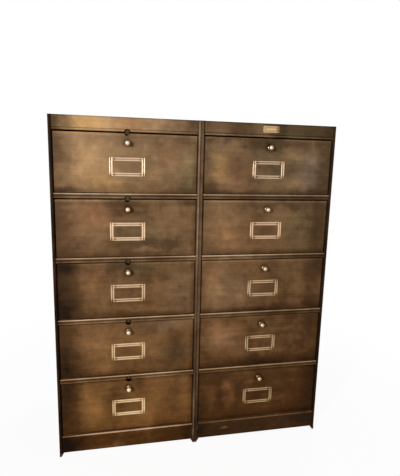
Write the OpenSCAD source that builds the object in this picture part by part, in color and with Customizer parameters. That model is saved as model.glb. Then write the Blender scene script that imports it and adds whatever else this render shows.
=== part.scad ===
// Steel office cabinet with two columns of drop-front compartments.
// Each column is a folded-sheet case of its own, and the two are bolted side by side.
// Every flap turns on a piano hinge along its lower edge and drops forward to level.
// X runs to the right, Y to the back and Z up, in millimetres; the floor is Z = 0.

/* [Cabinet] */
// Width of one column of compartments
column_w = 425; // [360:1:520]
// Depth of the case from the front of the stiles to the back
depth = 380; // [300:1:450]
// Height of one row, from hinge pin to hinge pin
row_h = 186.5; // [160:0.5:240]
// Number of rows of compartments
rows = 5; // [2:1:7]
// Height of the header over the top row
header_h = 39.5; // [30:0.5:80]
// Height of the plinth face under the bottom row
plinth_h = 54; // [40:1:120]
// Height of the feet
foot_h = 12; // [6:1:30]

/* [Folded sheet] */
// Thickness of the case and flap sheets
sheet_t = 0.9; // [0.7:0.05:1.2]
// Inside radius of an ordinary fold
fold_r = 0.5; // [0.3:0.05:0.8]
// Width of the rounded front edge of a side wall
stile_w = 9.6; // [8:0.2:16]
// How far the rounded edge returns into the case
stile_return = 22; // [18:1:40]
// Width of the flange at the back of a side wall
rear_flange = 13; // [8:1:25]
// Depth of the stiffening flanges under a shelf
shelf_flange = 12; // [6:0.5:20]
// How far the header folds back under itself
header_return = 38; // [30:1:60]
// How far the foot of the plinth folds back
plinth_return = 30; // [20:1:60]

/* [Front rails] */
// Set-back of the rails from the front of the stiles
rail_setback = 0.3; // [0:0.1:2]
// Height of the rolled bead that a dropped flap rests on
bead_h = 4.3; // [3.4:0.1:6]
// Front-to-back size of the bead
bead_d = 2.9; // [2.8:0.1:4]
// Height of the groove under the bead
groove_h = 4.3; // [2:0.1:8]
// Depth of the groove under the bead
groove_d = 3; // [2:0.1:3.4]
// Height of the nose at the foot of the rail
nose_h = 5.3; // [4:0.1:9]

/* [Flaps] */
// Gap between a flap and the stile on either side
side_gap = 1.4; // [0.8:0.1:3]
// Gap between the top of a flap and the nose above it
top_gap = 4.2; // [3.4:0.1:6]
// Depth of the flap's folded edges
flap_d = 14; // [8:0.5:20]
// Depth of the lip at the end of the top fold
flap_lip = 5; // [3:0.5:10]
// Clearance between a dropped flap and the bead
stop_gap = 0.3; // [0.2:0.05:0.8]

/* [Piano hinge] */
// Outside diameter of the knuckles
knuckle_d = 5; // [4.6:0.1:6.5]
// Diameter of the hinge pin
pin_d = 2.6; // [2:0.1:2.8]
// Radial clearance round the pin
pin_clear = 0.05; // [0.03:0.01:0.08]
// Thickness of the hinge leaves
leaf_t = 0.8; // [0.6:0.05:0.9]
// Height of the leaf behind the flap
leaf_h = 18; // [10:0.5:30]
// Number of knuckles, an odd number so that both end ones are fixed
knuckles = 9; // [5:2:21]
// Gap between one knuckle and the next
knuckle_gap = 0.4; // [0.2:0.1:1]

/* [Catch] */
// Diameter of the half-round finger notch over each flap of the left column
notch_d = 19; // [14:0.5:26]
// Width of the catch spring
catch_w = 14; // [8:0.5:18]
// Thickness of the catch spring
catch_t = 0.8; // [0.5:0.05:1]
// Clearance between the spring's nose and the flap
catch_clear = 0.9; // [0.7:0.1:1.5]
// Width of the thumb tab in each finger notch
tab_w = 10; // [6:0.5:13]
// Gap between the round end of the thumb tab and the rim of its notch
tab_gap = 1.8; // [1:0.1:4]

/* [Knob] */
// Diameter of the ball
knob_d = 16; // [12:0.5:24]
// Reach of the knob in front of the flap
knob_reach = 21; // [16:0.5:32]
// Distance of the knob below the top edge of the flap
knob_drop = 27; // [20:0.5:45]
// Diameter of the knob's foot
knob_foot_d = 11; // [9:0.5:16]
// Diameter of the neck
knob_neck_d = 8.8; // [5:0.2:9.6]
// Diameter of the knob's stud
stud_d = 4; // [3:0.5:5]

/* [Label holder] */
// Width of the label holder
holder_w = 102; // [70:1:130]
// Height of the label holder
holder_h = 53.5; // [36:0.5:70]
// Width of its border
holder_border = 10.6; // [8:0.2:15]
// Height of its centre above the hinge pin
holder_up = 75.7; // [60:0.5:100]
// Thickness of the sheet that it is pressed from
holder_web = 0.7; // [0.4:0.05:1]
// Thickness at the crown of its raised ribs
holder_t = 1.7; // [1.2:0.1:3]
// Distance of its rivets from the left and right ends
rivet_inset = 14; // [12:0.5:24]

/* [Name plate] */
// Width of the name plate
plate_w = 50; // [30:1:80]
// Height of the name plate
plate_h = 19; // [12:0.5:26]
// Thickness of the name plate
plate_t = 0.9; // [0.5:0.1:1.5]

/* [Feet and bolts] */
// Width of a foot where it meets the case
foot_top_w = 13; // [9:0.5:20]
// Width of a foot on the floor
foot_tip_w = 5.5; // [3:0.5:8]
// Front-to-back length of a foot
foot_l = 14; // [8:1:40]
// Diameter of the bolts that join the two columns
bolt_d = 6; // [4:0.5:10]
// Distance of the bolts from the front and from the back
bolt_inset = 60; // [40:1:120]

/* [Hidden] */
$fn = 48;
PIECES = ["flap", "flap_leaf", "knob", "label_holder"];
SIDES = ["left", "right"];
function piece_name(side, piece, row) = str(SIDES[side], "_", piece, "_", row);

// Small fits that every piece shares
fit = 0.2;
bolt_clear = 0.3;
bend_step = 15;

// Strip of the top or shelf sheet that each rear flange is folded from
rear_strip = 20;

// The section through a hinge line, front to back
knuckle_r = knuckle_d / 2;
bore_r = pin_d / 2 + pin_clear;
leaf_inset = 0.1;
pin_y = rail_setback + bead_d + fit + knuckle_r;
leaf_back = pin_y + knuckle_r - leaf_inset;
leaf_front = leaf_back - leaf_t;
face_y = leaf_front - sheet_t;
fold_mid = fold_r + sheet_t / 2;
skin_up = knuckle_r + fit;

// The section through a rail, measured down from the hinge pin
bead_top = face_y - pin_y - stop_gap;
bead_foot = bead_top - bead_h;
nose_top = bead_foot - groove_h;
nose_foot = nose_top - nose_h;
flap_top = row_h + nose_foot - top_gap;
shelf_drop = 1;

// Heights above the floor
bottom_pin_z = foot_h + plinth_h - bead_foot;
function pin_z(row) = bottom_pin_z + (rows - row) * row_h;
lip_z = pin_z(0) + nose_foot;
top_z = lip_z + header_h;
header_y = rail_setback + 0.9;
lip_h = 5.6;

// Widths inside one column
inner_x0 = stile_w;
inner_x1 = column_w - stile_w;
flap_x0 = stile_w + side_gap;
flap_x1 = column_w - stile_w - side_gap;
flap_w = flap_x1 - flap_x0;
leaf_x0 = flap_x0 + sheet_t + 1;
leaf_l = flap_w - 2 * (sheet_t + 1);
knuckle_pitch = leaf_l / knuckles;
mid_x = column_w / 2;

// The knob stands proud of the front, so the middle of the whole is ahead of the case's own
knob_proud = knob_reach - face_y;
mid_y = (depth - knob_proud) / 2;

// ---------------------------------------------------------------- folded sheet

function turned(v, a) = [v[0] * cos(a) - v[1] * sin(a), v[0] * sin(a) + v[1] * cos(a)];
function unit(v) = v / norm(v);
function reversed(v) = [for (i = [len(v) - 1:-1:0]) v[i]];

// Points round the bend at b on the way from a to c. The middle of the sheet bends at radius r,
// and the points lie s to the left of it.
function bend(a, b, c, r, s) =
    let (
        d1 = unit(b - a),
        d2 = unit(c - b),
        turn = atan2(cross(d1, d2), d1 * d2),
        side = sign(turn),
        centre = b - r * tan(abs(turn) / 2) * d1 + side * r * turned(d1, 90),
        start = -side * (r - side * s) * turned(d1, 90),
        steps = max(1, round(abs(turn) / bend_step))
    )
    abs(turn) < 1 || r <= 0
        ? [b + s * turned(d1, 90)]
        : [for (i = [0:steps]) centre + turned(start, turn * i / steps)];

function radius_at(r, i) = is_list(r) ? r[i] : r;

// One face of a sheet that follows a path, s to the left of its middle
function sheet_face(path, r, s) =
    let (n = len(path) - 1)
    [
        path[0] + s * turned(unit(path[1] - path[0]), 90),
        for (i = [1:n - 1]) each bend(path[i - 1], path[i], path[i + 1], radius_at(r, i), s),
        path[n] + s * turned(unit(path[n] - path[n - 1]), 90)
    ];

// Section of a sheet of thickness t folded along a path
module folded(path, t = sheet_t, r = fold_mid) {
    polygon(concat(sheet_face(path, r, t / 2), reversed(sheet_face(path, r, -t / 2))));
}

// A closed outline with its corners rounded, each to its own radius
function rounded(points, r) =
    let (n = len(points))
    [for (i = [0:n - 1])
        each bend(points[(i + n - 1) % n], points[i], points[(i + 1) % n], radius_at(r, i), 0)];

// Extrude a section drawn in Y and Z along X, one drawn in X and Z along Y, and a plan up Z
module along_x(x0, x1) {
    translate([x0, 0, 0]) rotate([90, 0, 90]) linear_extrude(x1 - x0) children();
}

module along_y(y0, y1) {
    translate([0, y1, 0]) rotate([90, 0, 0]) linear_extrude(y1 - y0) children();
}

module along_z(z0, z1) {
    translate([0, 0, z0]) linear_extrude(z1 - z0) children();
}

// Both halves of a column, mirrored about its middle
module both_halves() {
    children();
    translate([column_w, 0, 0]) mirror([1, 0, 0]) children();
}

module in_column(side) {
    translate([(side - 1) * column_w, -mid_y, 0]) children();
}

// ---------------------------------------------------------------- case

// Wall of a column: a sheet with a rear flange and a half-round front edge
module side_wall() {
    stile_mid = min(stile_w / 2 - sheet_t / 2 - 0.1, 6);
    edge = sheet_t / 2;
    rear = depth - 1.5 * sheet_t;
    along_z(foot_h, top_z - sheet_t)
        folded(
            [
                [rear_flange, rear],
                [edge, rear],
                [edge, edge],
                [stile_w - edge, edge],
                [stile_w - edge, stile_return]
            ],
            r = [0, fold_mid, stile_mid, stile_mid, 0]
        );
}

// Places where the two columns are bolted together: front and back, in two of the rows
module at_bolts() {
    for (y = [bolt_inset, depth - bolt_inset], row = [2, rows]) {
        translate([0, y, pin_z(row) + row_h / 2]) rotate([0, 90, 0]) children();
    }
}

module outer_wall(side) {
    color("#2b2018")
        in_column(side)
            translate([side * column_w, 0, 0]) mirror([side, 0, 0]) side_wall();
}

module partition(side) {
    color("#3a2c1f")
        in_column(side)
            translate([(1 - side) * column_w, 0, 0]) difference() {
                mirror([1 - side, 0, 0]) side_wall();
                translate([-5, 0, 0])
                    at_bolts() cylinder(h = 10, d = bolt_d + 2 * bolt_clear);
            }
}

// Top of a column: a plate over the walls, folded down in front into the header and its lip
module column_top(side) {
    plate_z = top_z - sheet_t / 2;
    corner = min(stile_w / 2, 6);
    rear = depth - 1.5 * sheet_t;
    face = header_y + sheet_t / 2;
    lip = rail_setback + sheet_t / 2;
    sill = lip_z + sheet_t / 2;
    color("#8a6a42")
        in_column(side)
            difference() {
                union() {
                    along_x(inner_x0, inner_x1)
                        folded(
                            [
                                [header_return, plate_z],
                                [face, plate_z],
                                [face, lip_z + lip_h + 1],
                                [lip, lip_z + lip_h - 0.6],
                                [lip, sill],
                                [header_return, sill],
                                [header_return, sill + shelf_flange]
                            ],
                            r = [0, 1.6, 0.8, 0.8, fold_mid, fold_mid, 0]
                        );
                    along_z(top_z - sheet_t, top_z)
                        polygon(rounded(
                            [
                                [0, 0], [stile_w, 0], [stile_w, header_return - 1],
                                [column_w - stile_w, header_return - 1], [column_w - stile_w, 0],
                                [column_w, 0], [column_w, depth], [0, depth]
                            ],
                            [corner, 0, 0, 0, 0, corner, 0, 0]
                        ));
                    along_x(rear_flange + fit, column_w - rear_flange - fit)
                        folded([[depth - rear_strip, plate_z], [rear, plate_z], [rear, plate_z - shelf_flange]]);
                }
                if (side == 0) {
                    notch(0);
                }
            }
}

// Height of the middle of the finger notch between the rail at a row and the flap below it
function notch_z(row) = pin_z(row) + nose_foot - top_gap / 2;

// Cutter for the finger notch over a flap, through the rail and the leaf behind it
module notch(row, back = leaf_back + 2 * sheet_t) {
    translate([mid_x, -1, notch_z(row)])
        rotate([-90, 0, 0]) cylinder(h = back + 1, d = notch_d);
}

// Shelf under one row: plate, front flange behind the hinge, side and rear flanges
module shelf(side, row) {
    plate_z = pin_z(row) - shelf_drop - sheet_t / 2;
    front = leaf_back + sheet_t / 2;
    rear = depth - 2 * sheet_t;
    flange_z = plate_z - shelf_flange;
    wall = sheet_t * 1.5;
    difference() {
        union() {
            along_x(inner_x0, inner_x1)
                folded([[front, pin_z(row) + nose_foot], [front, plate_z], [stile_return + 8, plate_z]]);
            along_z(plate_z - sheet_t / 2, plate_z + sheet_t / 2)
                polygon([
                    [sheet_t + fold_mid, stile_return + fit], [column_w - sheet_t - fold_mid, stile_return + fit],
                    [column_w - sheet_t - fold_mid, rear - fold_mid], [sheet_t + fold_mid, rear - fold_mid]
                ]);
            along_x(2 * stile_w, column_w - 2 * stile_w)
                folded([
                    [rear - rear_strip, plate_z], [rear - sheet_t / 2, plate_z], [rear - sheet_t / 2, flange_z]
                ]);
            both_halves()
                along_y(stile_return + fit, rear - fold_mid)
                    folded([[stile_w, plate_z], [wall, plate_z], [wall, flange_z]]);
        }
        if (side == 0 && row < rows) {
            notch(row);
        }
    }
}

module shelves(side) {
    color("#4a3826")
        in_column(side)
            for (row = [1:rows]) shelf(side, row);
}

// The start of every rail, from the hem behind the bead to the bead's foot, rising from a pin
function bead_path(z) =
    let (
        y = rail_setback + sheet_t / 2,
        hem_y = rail_setback + bead_d - sheet_t / 2,
        crown = z + bead_top - sheet_t / 2,
        foot = z + bead_foot + sheet_t / 2
    )
    [[hem_y, foot + sheet_t + fit], [hem_y, crown], [y, crown], [y, foot]];

bead_mid = min(fold_mid, (bead_d - sheet_t) / 2 - 0.02);

// Rail between two rows: bead, groove and nose in one folded strip, welded to the hinge leaf
module rail(side, row) {
    z = pin_z(row);
    y = rail_setback + sheet_t / 2;
    groove_y = y + groove_d;
    foot = z + bead_foot + sheet_t / 2;
    shoulder = z + nose_top - sheet_t / 2;
    sill = z + nose_foot + sheet_t / 2;
    weld_y = leaf_front - sheet_t / 2;
    difference() {
        along_x(inner_x0, inner_x1)
            folded(
                concat(
                    bead_path(z),
                    [
                        [groove_y, foot], [groove_y, shoulder], [y, shoulder], [y, sill],
                        [weld_y, sill], [weld_y, shoulder]
                    ]
                ),
                r = bead_mid
            );
        if (side == 0) {
            notch(row);
        }
    }
}

module rails(side) {
    color("#a08560")
        in_column(side)
            for (row = [1:rows - 1]) rail(side, row);
}

// Plinth under the bottom row: the same bead on top of a flat face that folds back at its foot
module plinth(side) {
    z = pin_z(rows);
    face = rail_setback + sheet_t / 2 + 2.2;
    foot = z + bead_foot + sheet_t / 2;
    sill = foot_h + sheet_t / 2;
    color("#4a341f")
        in_column(side)
            along_x(inner_x0, inner_x1)
                folded(
                    concat(
                        bead_path(z),
                        [
                            [face, foot], [face, sill],
                            [plinth_return, sill], [plinth_return, sill + shelf_flange]
                        ]
                    ),
                    r = bead_mid
                );
}

module back_panel(side) {
    color("#33271c")
        in_column(side)
            along_z(foot_h, top_z - sheet_t)
                translate([0, depth - sheet_t]) square([column_w, sheet_t]);
}

// Tapered foot under each corner of each column, upright on its outer side
module foot() {
    outer = 0.4;
    along_y(0, foot_l)
        polygon([[outer, foot_h], [foot_top_w, foot_h], [outer + foot_tip_w, 0], [outer, 0]]);
}

module feet() {
    color("#241c15")
        for (side = [0, 1], y = [1, depth - foot_l - 1])
            in_column(side) both_halves() translate([0, y, 0]) foot();
}

// Hexagon bolts through both partitions, each with its nut
module column_bolts() {
    head_h = 0.7 * bolt_d;
    nut_h = 0.8 * bolt_d;
    across = 2 * bolt_d;
    color("#6e675c")
        in_column(1)
            at_bolts() {
                translate([0, 0, -sheet_t - head_h]) cylinder(h = head_h, d = across, $fn = 6);
                translate([0, 0, -sheet_t - 0.1]) cylinder(h = 2 * sheet_t + nut_h + 2.1, d = bolt_d);
                translate([0, 0, sheet_t]) difference() {
                    cylinder(h = nut_h, d = across, $fn = 6);
                    translate([0, 0, -1]) cylinder(h = nut_h + 2, d = bolt_d + 0.1);
                }
            }
}

// ---------------------------------------------------------------- hinge and catch

// Knuckles with numbers first, first + 2 and so on, with a tab that joins each to its leaf.
// up is 1 for the leaf on the flap and -1 for the leaf on the case.
module hinge_leaf(row, first, up, reach) {
    z = pin_z(row);
    difference() {
        union() {
            translate([leaf_x0, leaf_front, z + (up > 0 ? skin_up : -reach)])
                cube([leaf_l, leaf_t, reach - skin_up]);
            for (i = [first:2:knuckles - 1]) {
                x = leaf_x0 + i * knuckle_pitch + knuckle_gap / 2;
                l = knuckle_pitch - knuckle_gap;
                translate([x, pin_y, z]) rotate([0, 90, 0]) cylinder(h = l, r = knuckle_r);
                translate([x, leaf_front, z - (up > 0 ? 0 : skin_up + 1)])
                    cube([l, leaf_t, skin_up + 1]);
            }
        }
        translate([leaf_x0 - 1, pin_y, z]) rotate([0, 90, 0]) cylinder(h = leaf_l + 2, r = bore_r);
    }
}

module case_leaves() {
    color("#7d7264")
        for (side = [0, 1], row = [1:rows])
            in_column(side)
                difference() {
                    hinge_leaf(row, 0, -1, -nose_foot);
                    if (side == 0 && row < rows) {
                        notch(row);
                    }
                }
}

module flap_leaf(side, row) {
    color("#7d7264") in_column(side) hinge_leaf(row, 1, 1, leaf_h);
}

module hinge_pins() {
    color("#b9b2a6")
        for (side = [0, 1], row = [1:rows])
            in_column(side)
                translate([leaf_x0, pin_y, pin_z(row)]) rotate([0, 90, 0])
                    cylinder(h = leaf_l, d = pin_d);
}

// Height of the middle of the catch's nose over a flap, and its distance from the stile fronts
function catch_z(row) = pin_z(row) + flap_top + catch_clear + catch_t / 2;
catch_y = face_y + 0.42 * flap_d;

// Back end of the spring, and the length of it that is welded up under the shelf
catch_end = header_return + 4;
catch_seat = 18;

// Leaf spring fixed under the shelf above a flap, with a bent nose over the flap's top fold
module catch_spring(row) {
    above = row == 1 ? lip_z : pin_z(row - 1) - shelf_drop - sheet_t;
    mount_z = above - catch_t / 2;
    nose_z = catch_z(row);
    along_x(mid_x - catch_w / 2, mid_x + catch_w / 2)
        folded(
            [
                [catch_end, mount_z], [catch_end - catch_seat, mount_z],
                [catch_y + 5, nose_z + 2.2], [catch_y, nose_z], [leaf_back + sheet_t + 0.8, nose_z + 2]
            ],
            t = catch_t,
            r = 0.8
        );
}

// Upright tab that runs forward from the nose and ends in the finger notch, to lift the catch
module thumb_tab(row) {
    tab_y = face_y + catch_t;
    intersection() {
        along_x(mid_x - tab_w / 2, mid_x + tab_w / 2)
            folded(
                [
                    [catch_y + 1, catch_z(row)],
                    [tab_y, catch_z(row)],
                    [tab_y, catch_z(row) + notch_d]
                ],
                t = catch_t,
                r = 0.8
            );
        translate([mid_x, 0, notch_z(row - 1)])
            rotate([-90, 0, 0]) cylinder(h = depth / 2, r = notch_d / 2 - tab_gap);
    }
}

module catch_springs() {
    color("#b8a27c")
        for (side = [0, 1], row = [1:rows])
            in_column(side) {
                catch_spring(row);
                if (side == 0) {
                    thumb_tab(row);
                }
            }
}

// ---------------------------------------------------------------- flap

// Flap: a pressed sheet with its sides and top folded back and a lip on the top fold
module flap(side, row) {
    z = pin_z(row);
    mid = sheet_t / 2;
    back = face_y + flap_d;
    bend_out = fold_mid + mid;
    color("#6b4f33")
        in_column(side)
            difference() {
                union() {
                    along_z(z + skin_up, z + flap_top - bend_out)
                        folded([
                            [flap_x0 + mid, back], [flap_x0 + mid, face_y + mid],
                            [flap_x1 - mid, face_y + mid], [flap_x1 - mid, back]
                        ]);
                    along_x(flap_x0 + bend_out, flap_x1 - bend_out)
                        folded([
                            [face_y + mid, z + flap_top - 2 * bend_out],
                            [face_y + mid, z + flap_top - mid],
                            [back - mid, z + flap_top - mid],
                            [back - mid, z + flap_top - flap_lip]
                        ]);
                }
                if (side == 0) {
                    notch(row - 1, back = face_y + 0.36 * flap_d);
                }
                translate([mid_x, face_y - 1, z + flap_top - knob_drop])
                    rotate([-90, 0, 0]) cylinder(h = sheet_t + 2, d = stud_d + 0.1);
            }
}

// Turned ball knob on a waisted neck, with a stud through the flap and a nut behind it
module knob(side, row) {
    ball_h = knob_reach - knob_d / 2;
    foot_r = knob_foot_d / 2;
    neck_r = knob_neck_d / 2;
    nut_h = 0.8 * stud_d;
    stud_l = sheet_t + nut_h + 1;
    color("#d8b878")
        in_column(side)
            translate([mid_x, face_y, pin_z(row) + flap_top - knob_drop]) rotate([90, 0, 0]) {
                translate([0, 0, ball_h]) sphere(d = knob_d);
                rotate_extrude()
                    polygon(concat(
                        [[0, 0], [foot_r, 0], [foot_r, 0.8], [foot_r - 0.6, 1.4]],
                        [for (t = [0:0.2:1])
                            [neck_r + (foot_r - 0.6 - neck_r) * pow(1 - t, 2), 1.6 + (ball_h - 5) * t]],
                        [[neck_r, ball_h], [0, ball_h]]
                    ));
                translate([0, 0, -stud_l]) cylinder(h = stud_l + 1, d = stud_d);
                translate([0, 0, -sheet_t - nut_h]) difference() {
                    cylinder(h = nut_h, d = 2 * stud_d, $fn = 6);
                    translate([0, 0, -1]) cylinder(h = nut_h + 2, d = stud_d + 0.1);
                }
            }
}

// Flat land along the edges of the label holder's border
holder_land = 0.3;

// Half-round rib from u0 to u1 across the border, standing on the pressed sheet
function rib(u0, u1) =
    let (middle = (u0 + u1) / 2, half = (u1 - u0) / 2, rise = holder_t - holder_web)
    concat(
        [[u0, holder_web / 2]],
        [for (a = [180:-20:0]) [middle + half * cos(a), holder_web + rise * sin(a)]],
        [[u1, holder_web / 2]]
    );

// The two ribs along one side of the holder. They are drawn with the side's outer edge on Z = 0,
// its width running down and its face towards -Y.
module holder_ribs(l) {
    b = holder_border;
    along_x(-l / 2, l / 2)
        mirror([1, 0]) rotate(-90) {
            polygon(rib(holder_land, 0.4 * b));
            polygon(rib(0.6 * b, b - holder_land));
        }
}

// Pressed brass frame that holds a card on the flap, with two rivets above and two below. The
// upright ribs run its whole height, and the level ones end on the inner upright rib.
module label_holder(side, row) {
    rivet_r = 1.9;
    in_x = holder_w / 2 - rivet_inset;
    in_z = (holder_h - holder_border) / 2;
    level_l = holder_w - 1.7 * holder_border;
    color("#d6b27a")
        in_column(side)
            translate([mid_x, face_y, pin_z(row) + holder_up]) {
                along_y(-holder_web, 0)
                    difference() {
                        square([holder_w, holder_h], center = true);
                        square([holder_w, holder_h] - 2 * [holder_border, holder_border], center = true);
                    }
                for (turn = [0, 180]) {
                    rotate([0, turn, 0])
                        translate([0, 0, holder_h / 2]) holder_ribs(level_l);
                    rotate([0, turn + 90, 0])
                        translate([0, 0, holder_w / 2]) holder_ribs(holder_h - 2 * holder_land);
                }
                for (x = [-in_x, in_x], z = [-in_z, in_z])
                    translate([x, 0, z]) rotate([90, 0, 0])
                        cylinder(h = 0.8 * holder_t, r1 = rivet_r + 0.2, r2 = rivet_r - 0.4);
            }
}

// Bare brass plate on the right-hand header, with a raised rim and two pins
module name_plate() {
    rim = 1.2;
    pin_x = plate_w / 2 - 4;
    color("#c9b080")
        in_column(1)
            translate([mid_x, header_y, (lip_z + lip_h + top_z) / 2])
                rotate([90, 0, 0]) {
                    difference() {
                        linear_extrude(plate_t) polygon(plate_outline(0, 2.5));
                        translate([0, 0, 0.6 * plate_t])
                            linear_extrude(plate_t) polygon(plate_outline(rim, 1.5));
                    }
                    for (x = [-pin_x, pin_x])
                        translate([x, 0, 0.3 * plate_t]) cylinder(h = 0.9 * plate_t, r1 = 1.5, r2 = 1);
                }
}

function plate_outline(inset, r) =
    let (x = plate_w / 2 - inset, y = plate_h / 2 - inset)
    rounded([[-x, -y], [x, -y], [x, y], [-x, y]], r);

// ---------------------------------------------------------------- the whole cabinet

outer_wall(0);  // left_side_panel
partition(0);  // left_partition
partition(1);  // right_partition
outer_wall(1);  // right_side_panel
column_top(0);  // left_top
column_top(1);  // right_top
shelves(0);  // left_shelves
shelves(1);  // right_shelves
rails(0);  // left_rails
rails(1);  // right_rails
plinth(0);  // left_plinth
plinth(1);  // right_plinth
back_panel(0);  // left_back
back_panel(1);  // right_back
case_leaves();
hinge_pins();
catch_springs();
feet();
column_bolts();
name_plate();
for (side = [0, 1], row = [1:rows]) {
    flap(side, row);
    flap_leaf(side, row);
    knob(side, row);
    label_holder(side, row);
}
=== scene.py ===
# %% [markdown]
# # A steel office cabinet with ten drop fronts
# Two folded-sheet cases stand side by side, and each has five flaps that drop forward on
# piano hinges. The construction arrives as a finished frame whose parts never move here.
# This lesson gives that frame its looks: a studio, a patina of old burnished steel, and the
# small turned and stamped brass parts, each as a surface worked out from its real profile.

# %% Load the frame
import math

import bmesh
import bpy
import numpy as np
from mathutils import Matrix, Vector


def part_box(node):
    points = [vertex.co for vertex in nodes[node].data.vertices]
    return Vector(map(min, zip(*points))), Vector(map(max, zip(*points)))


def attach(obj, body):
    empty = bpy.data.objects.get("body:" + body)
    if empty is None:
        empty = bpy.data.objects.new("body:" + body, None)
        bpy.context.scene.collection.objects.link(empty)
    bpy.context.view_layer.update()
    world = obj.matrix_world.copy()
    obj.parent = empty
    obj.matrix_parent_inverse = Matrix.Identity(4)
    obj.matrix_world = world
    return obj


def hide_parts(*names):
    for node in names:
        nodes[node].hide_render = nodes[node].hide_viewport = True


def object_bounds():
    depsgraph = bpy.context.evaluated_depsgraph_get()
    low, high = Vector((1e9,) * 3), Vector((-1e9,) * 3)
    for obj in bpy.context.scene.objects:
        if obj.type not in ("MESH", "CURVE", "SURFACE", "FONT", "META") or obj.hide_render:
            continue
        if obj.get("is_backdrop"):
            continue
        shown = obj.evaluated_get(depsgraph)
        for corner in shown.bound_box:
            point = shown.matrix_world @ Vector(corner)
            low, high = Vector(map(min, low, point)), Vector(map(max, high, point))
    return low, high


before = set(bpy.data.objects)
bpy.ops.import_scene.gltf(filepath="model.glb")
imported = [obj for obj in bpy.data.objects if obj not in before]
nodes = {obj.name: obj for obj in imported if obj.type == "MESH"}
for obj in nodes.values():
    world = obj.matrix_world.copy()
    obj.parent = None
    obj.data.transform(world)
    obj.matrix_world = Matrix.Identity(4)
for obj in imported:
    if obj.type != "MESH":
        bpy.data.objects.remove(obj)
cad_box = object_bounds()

# %% [markdown]
# ## Three small helpers
# Sizes are easiest to think about in millimetres, while Blender counts in metres, so MM turns
# one into the other. Colours are written as the sRGB codes that any paint program shows, but
# shaders add light in linear values, so one function turns a code into them. The other adds a
# shader node together with its settings and links. All that could be written out each time,
# but this keeps every material below short enough to read.

# %% Helpers
MM = 0.001


def linear(code):
    """An sRGB code such as #8a6a42 as linear red, green, blue and an alpha of 1, by the short
    straight line and the power curve of the sRGB standard."""
    srgb = np.array([int(code[i:i + 2], 16) / 255 for i in (1, 3, 5)])
    low, high = srgb / 12.92, ((srgb + 0.055) / 1.055) ** 2.4
    return (*np.where(srgb <= 0.04045, low, high).tolist(), 1.0)


def add(tree, kind, inputs=None, out=None, stops=(), **settings):
    """Adds one node with its settings, fills or links its inputs, and returns one output: the
    named one, or else the first in use. An input is given by its name or its number. stops
    are the (position, colour code) pairs of a colour ramp, in rising order."""
    made = tree.nodes.new(kind)
    for name, value in settings.items():
        setattr(made, name, value)
    for i, (position, code) in enumerate(stops):
        ramp = made.color_ramp.elements
        stop = ramp[i] if i < 2 else ramp.new(position)
        stop.position, stop.color = position, linear(code)
    for key, value in (inputs or {}).items():
        named = [s for s in made.inputs if s.name == key and s.enabled]
        socket = made.inputs[key] if isinstance(key, int) else named[0]
        if isinstance(value, bpy.types.NodeSocket):
            tree.links.new(value, socket)
        else:
            socket.default_value = value
    return made.outputs[out] if out else next(s for s in made.outputs if s.enabled)


MATH, MIX, RANGE = "ShaderNodeMath", "ShaderNodeMix", "ShaderNodeMapRange"
NOISE, RAMP, VECTOR = "ShaderNodeTexNoise", "ShaderNodeValToRGB", "ShaderNodeVectorMath"
print("linear value of mid grey #808080:", round(linear("#808080")[0], 3))

# %% [markdown]
# ## The camera
# The cabinet is seen from a little left of its middle, at the height of the top row. A camera
# can be aimed with a constraint or turned by hand; here its three axes are worked out from
# yaw, pitch and roll, because that puts every vertical edge exactly where a real lens would.

# %% Camera
CAMERA_PLACE = (-258.4 * MM, -1416.2 * MM, 907.9 * MM)
YAW, PITCH, ROLL = 11.93, 10.04, 1.39
FOCAL_LENGTH, SENSOR_WIDTH = 32.06, 36.0


def camera_axes(yaw, pitch, roll):
    """Columns right, up and back of a camera that looks along +Y, turned right, then down,
    then rolled clockwise, each angle in degrees."""
    yaw, pitch, roll = (math.radians(a) for a in (yaw, pitch, roll))
    ahead = np.array([math.sin(yaw) * math.cos(pitch), math.cos(yaw) * math.cos(pitch),
                      -math.sin(pitch)])
    right = np.array([math.cos(yaw), -math.sin(yaw), 0.0])
    down = np.cross(ahead, right)
    turned_right = math.cos(roll) * right - math.sin(roll) * down
    turned_down = math.sin(roll) * right + math.cos(roll) * down
    return np.column_stack([turned_right, -turned_down, -ahead])


camera = bpy.data.objects.new("camera", bpy.data.cameras.new("camera"))
camera.data.lens = FOCAL_LENGTH
camera.data.sensor_width = SENSOR_WIDTH
camera.matrix_world = (Matrix.Translation(CAMERA_PLACE)
                       @ Matrix(camera_axes(YAW, PITCH, ROLL).tolist()).to_4x4())
bpy.context.scene.collection.objects.link(camera)
bpy.context.scene.camera = camera
bpy.context.scene.view_settings.view_transform = "Standard"
print("camera in metres:", [round(v, 3) for v in camera.location], "lens in mm:", FOCAL_LENGTH)

# %% [markdown]
# ## The studio
# A studio would have a roll of white paper, a bright even room and a soft lamp in front.
# A white background could come from more light, but that would bleach the cabinet. Here the
# camera and the reflections see plain white, while the light that falls on the cabinet stays
# at the level at which a colour renders as it is written. The paper is white outright from
# some way off, and only close to the cabinet does it take a share of real shadow.

# %% Floor
FLOOR_HALF = 6.0


def paper_floor(half):
    """A flat square of studio paper at Z = 0: x and y run over -half to half, in metres."""
    corners = np.array([(-half, -half, 0), (half, -half, 0), (half, half, 0), (-half, half, 0)])
    mesh = bpy.data.meshes.new("studio_floor")
    mesh.from_pydata(corners.tolist(), [], [(0, 1, 2, 3)])
    made = bpy.data.objects.new("studio_floor", mesh)
    bpy.context.scene.collection.objects.link(made)
    return made


floor = paper_floor(FLOOR_HALF)
floor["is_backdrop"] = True
print("floor side in metres:", 2 * FLOOR_HALF)

# %% White paper that keeps a shadow
WHITE, PAPER_WHITE = "#ffffff", "#f2f0ee"
PAPER_ROUGHNESS, PAPER_SPECULAR = 0.9, 0.1
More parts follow.
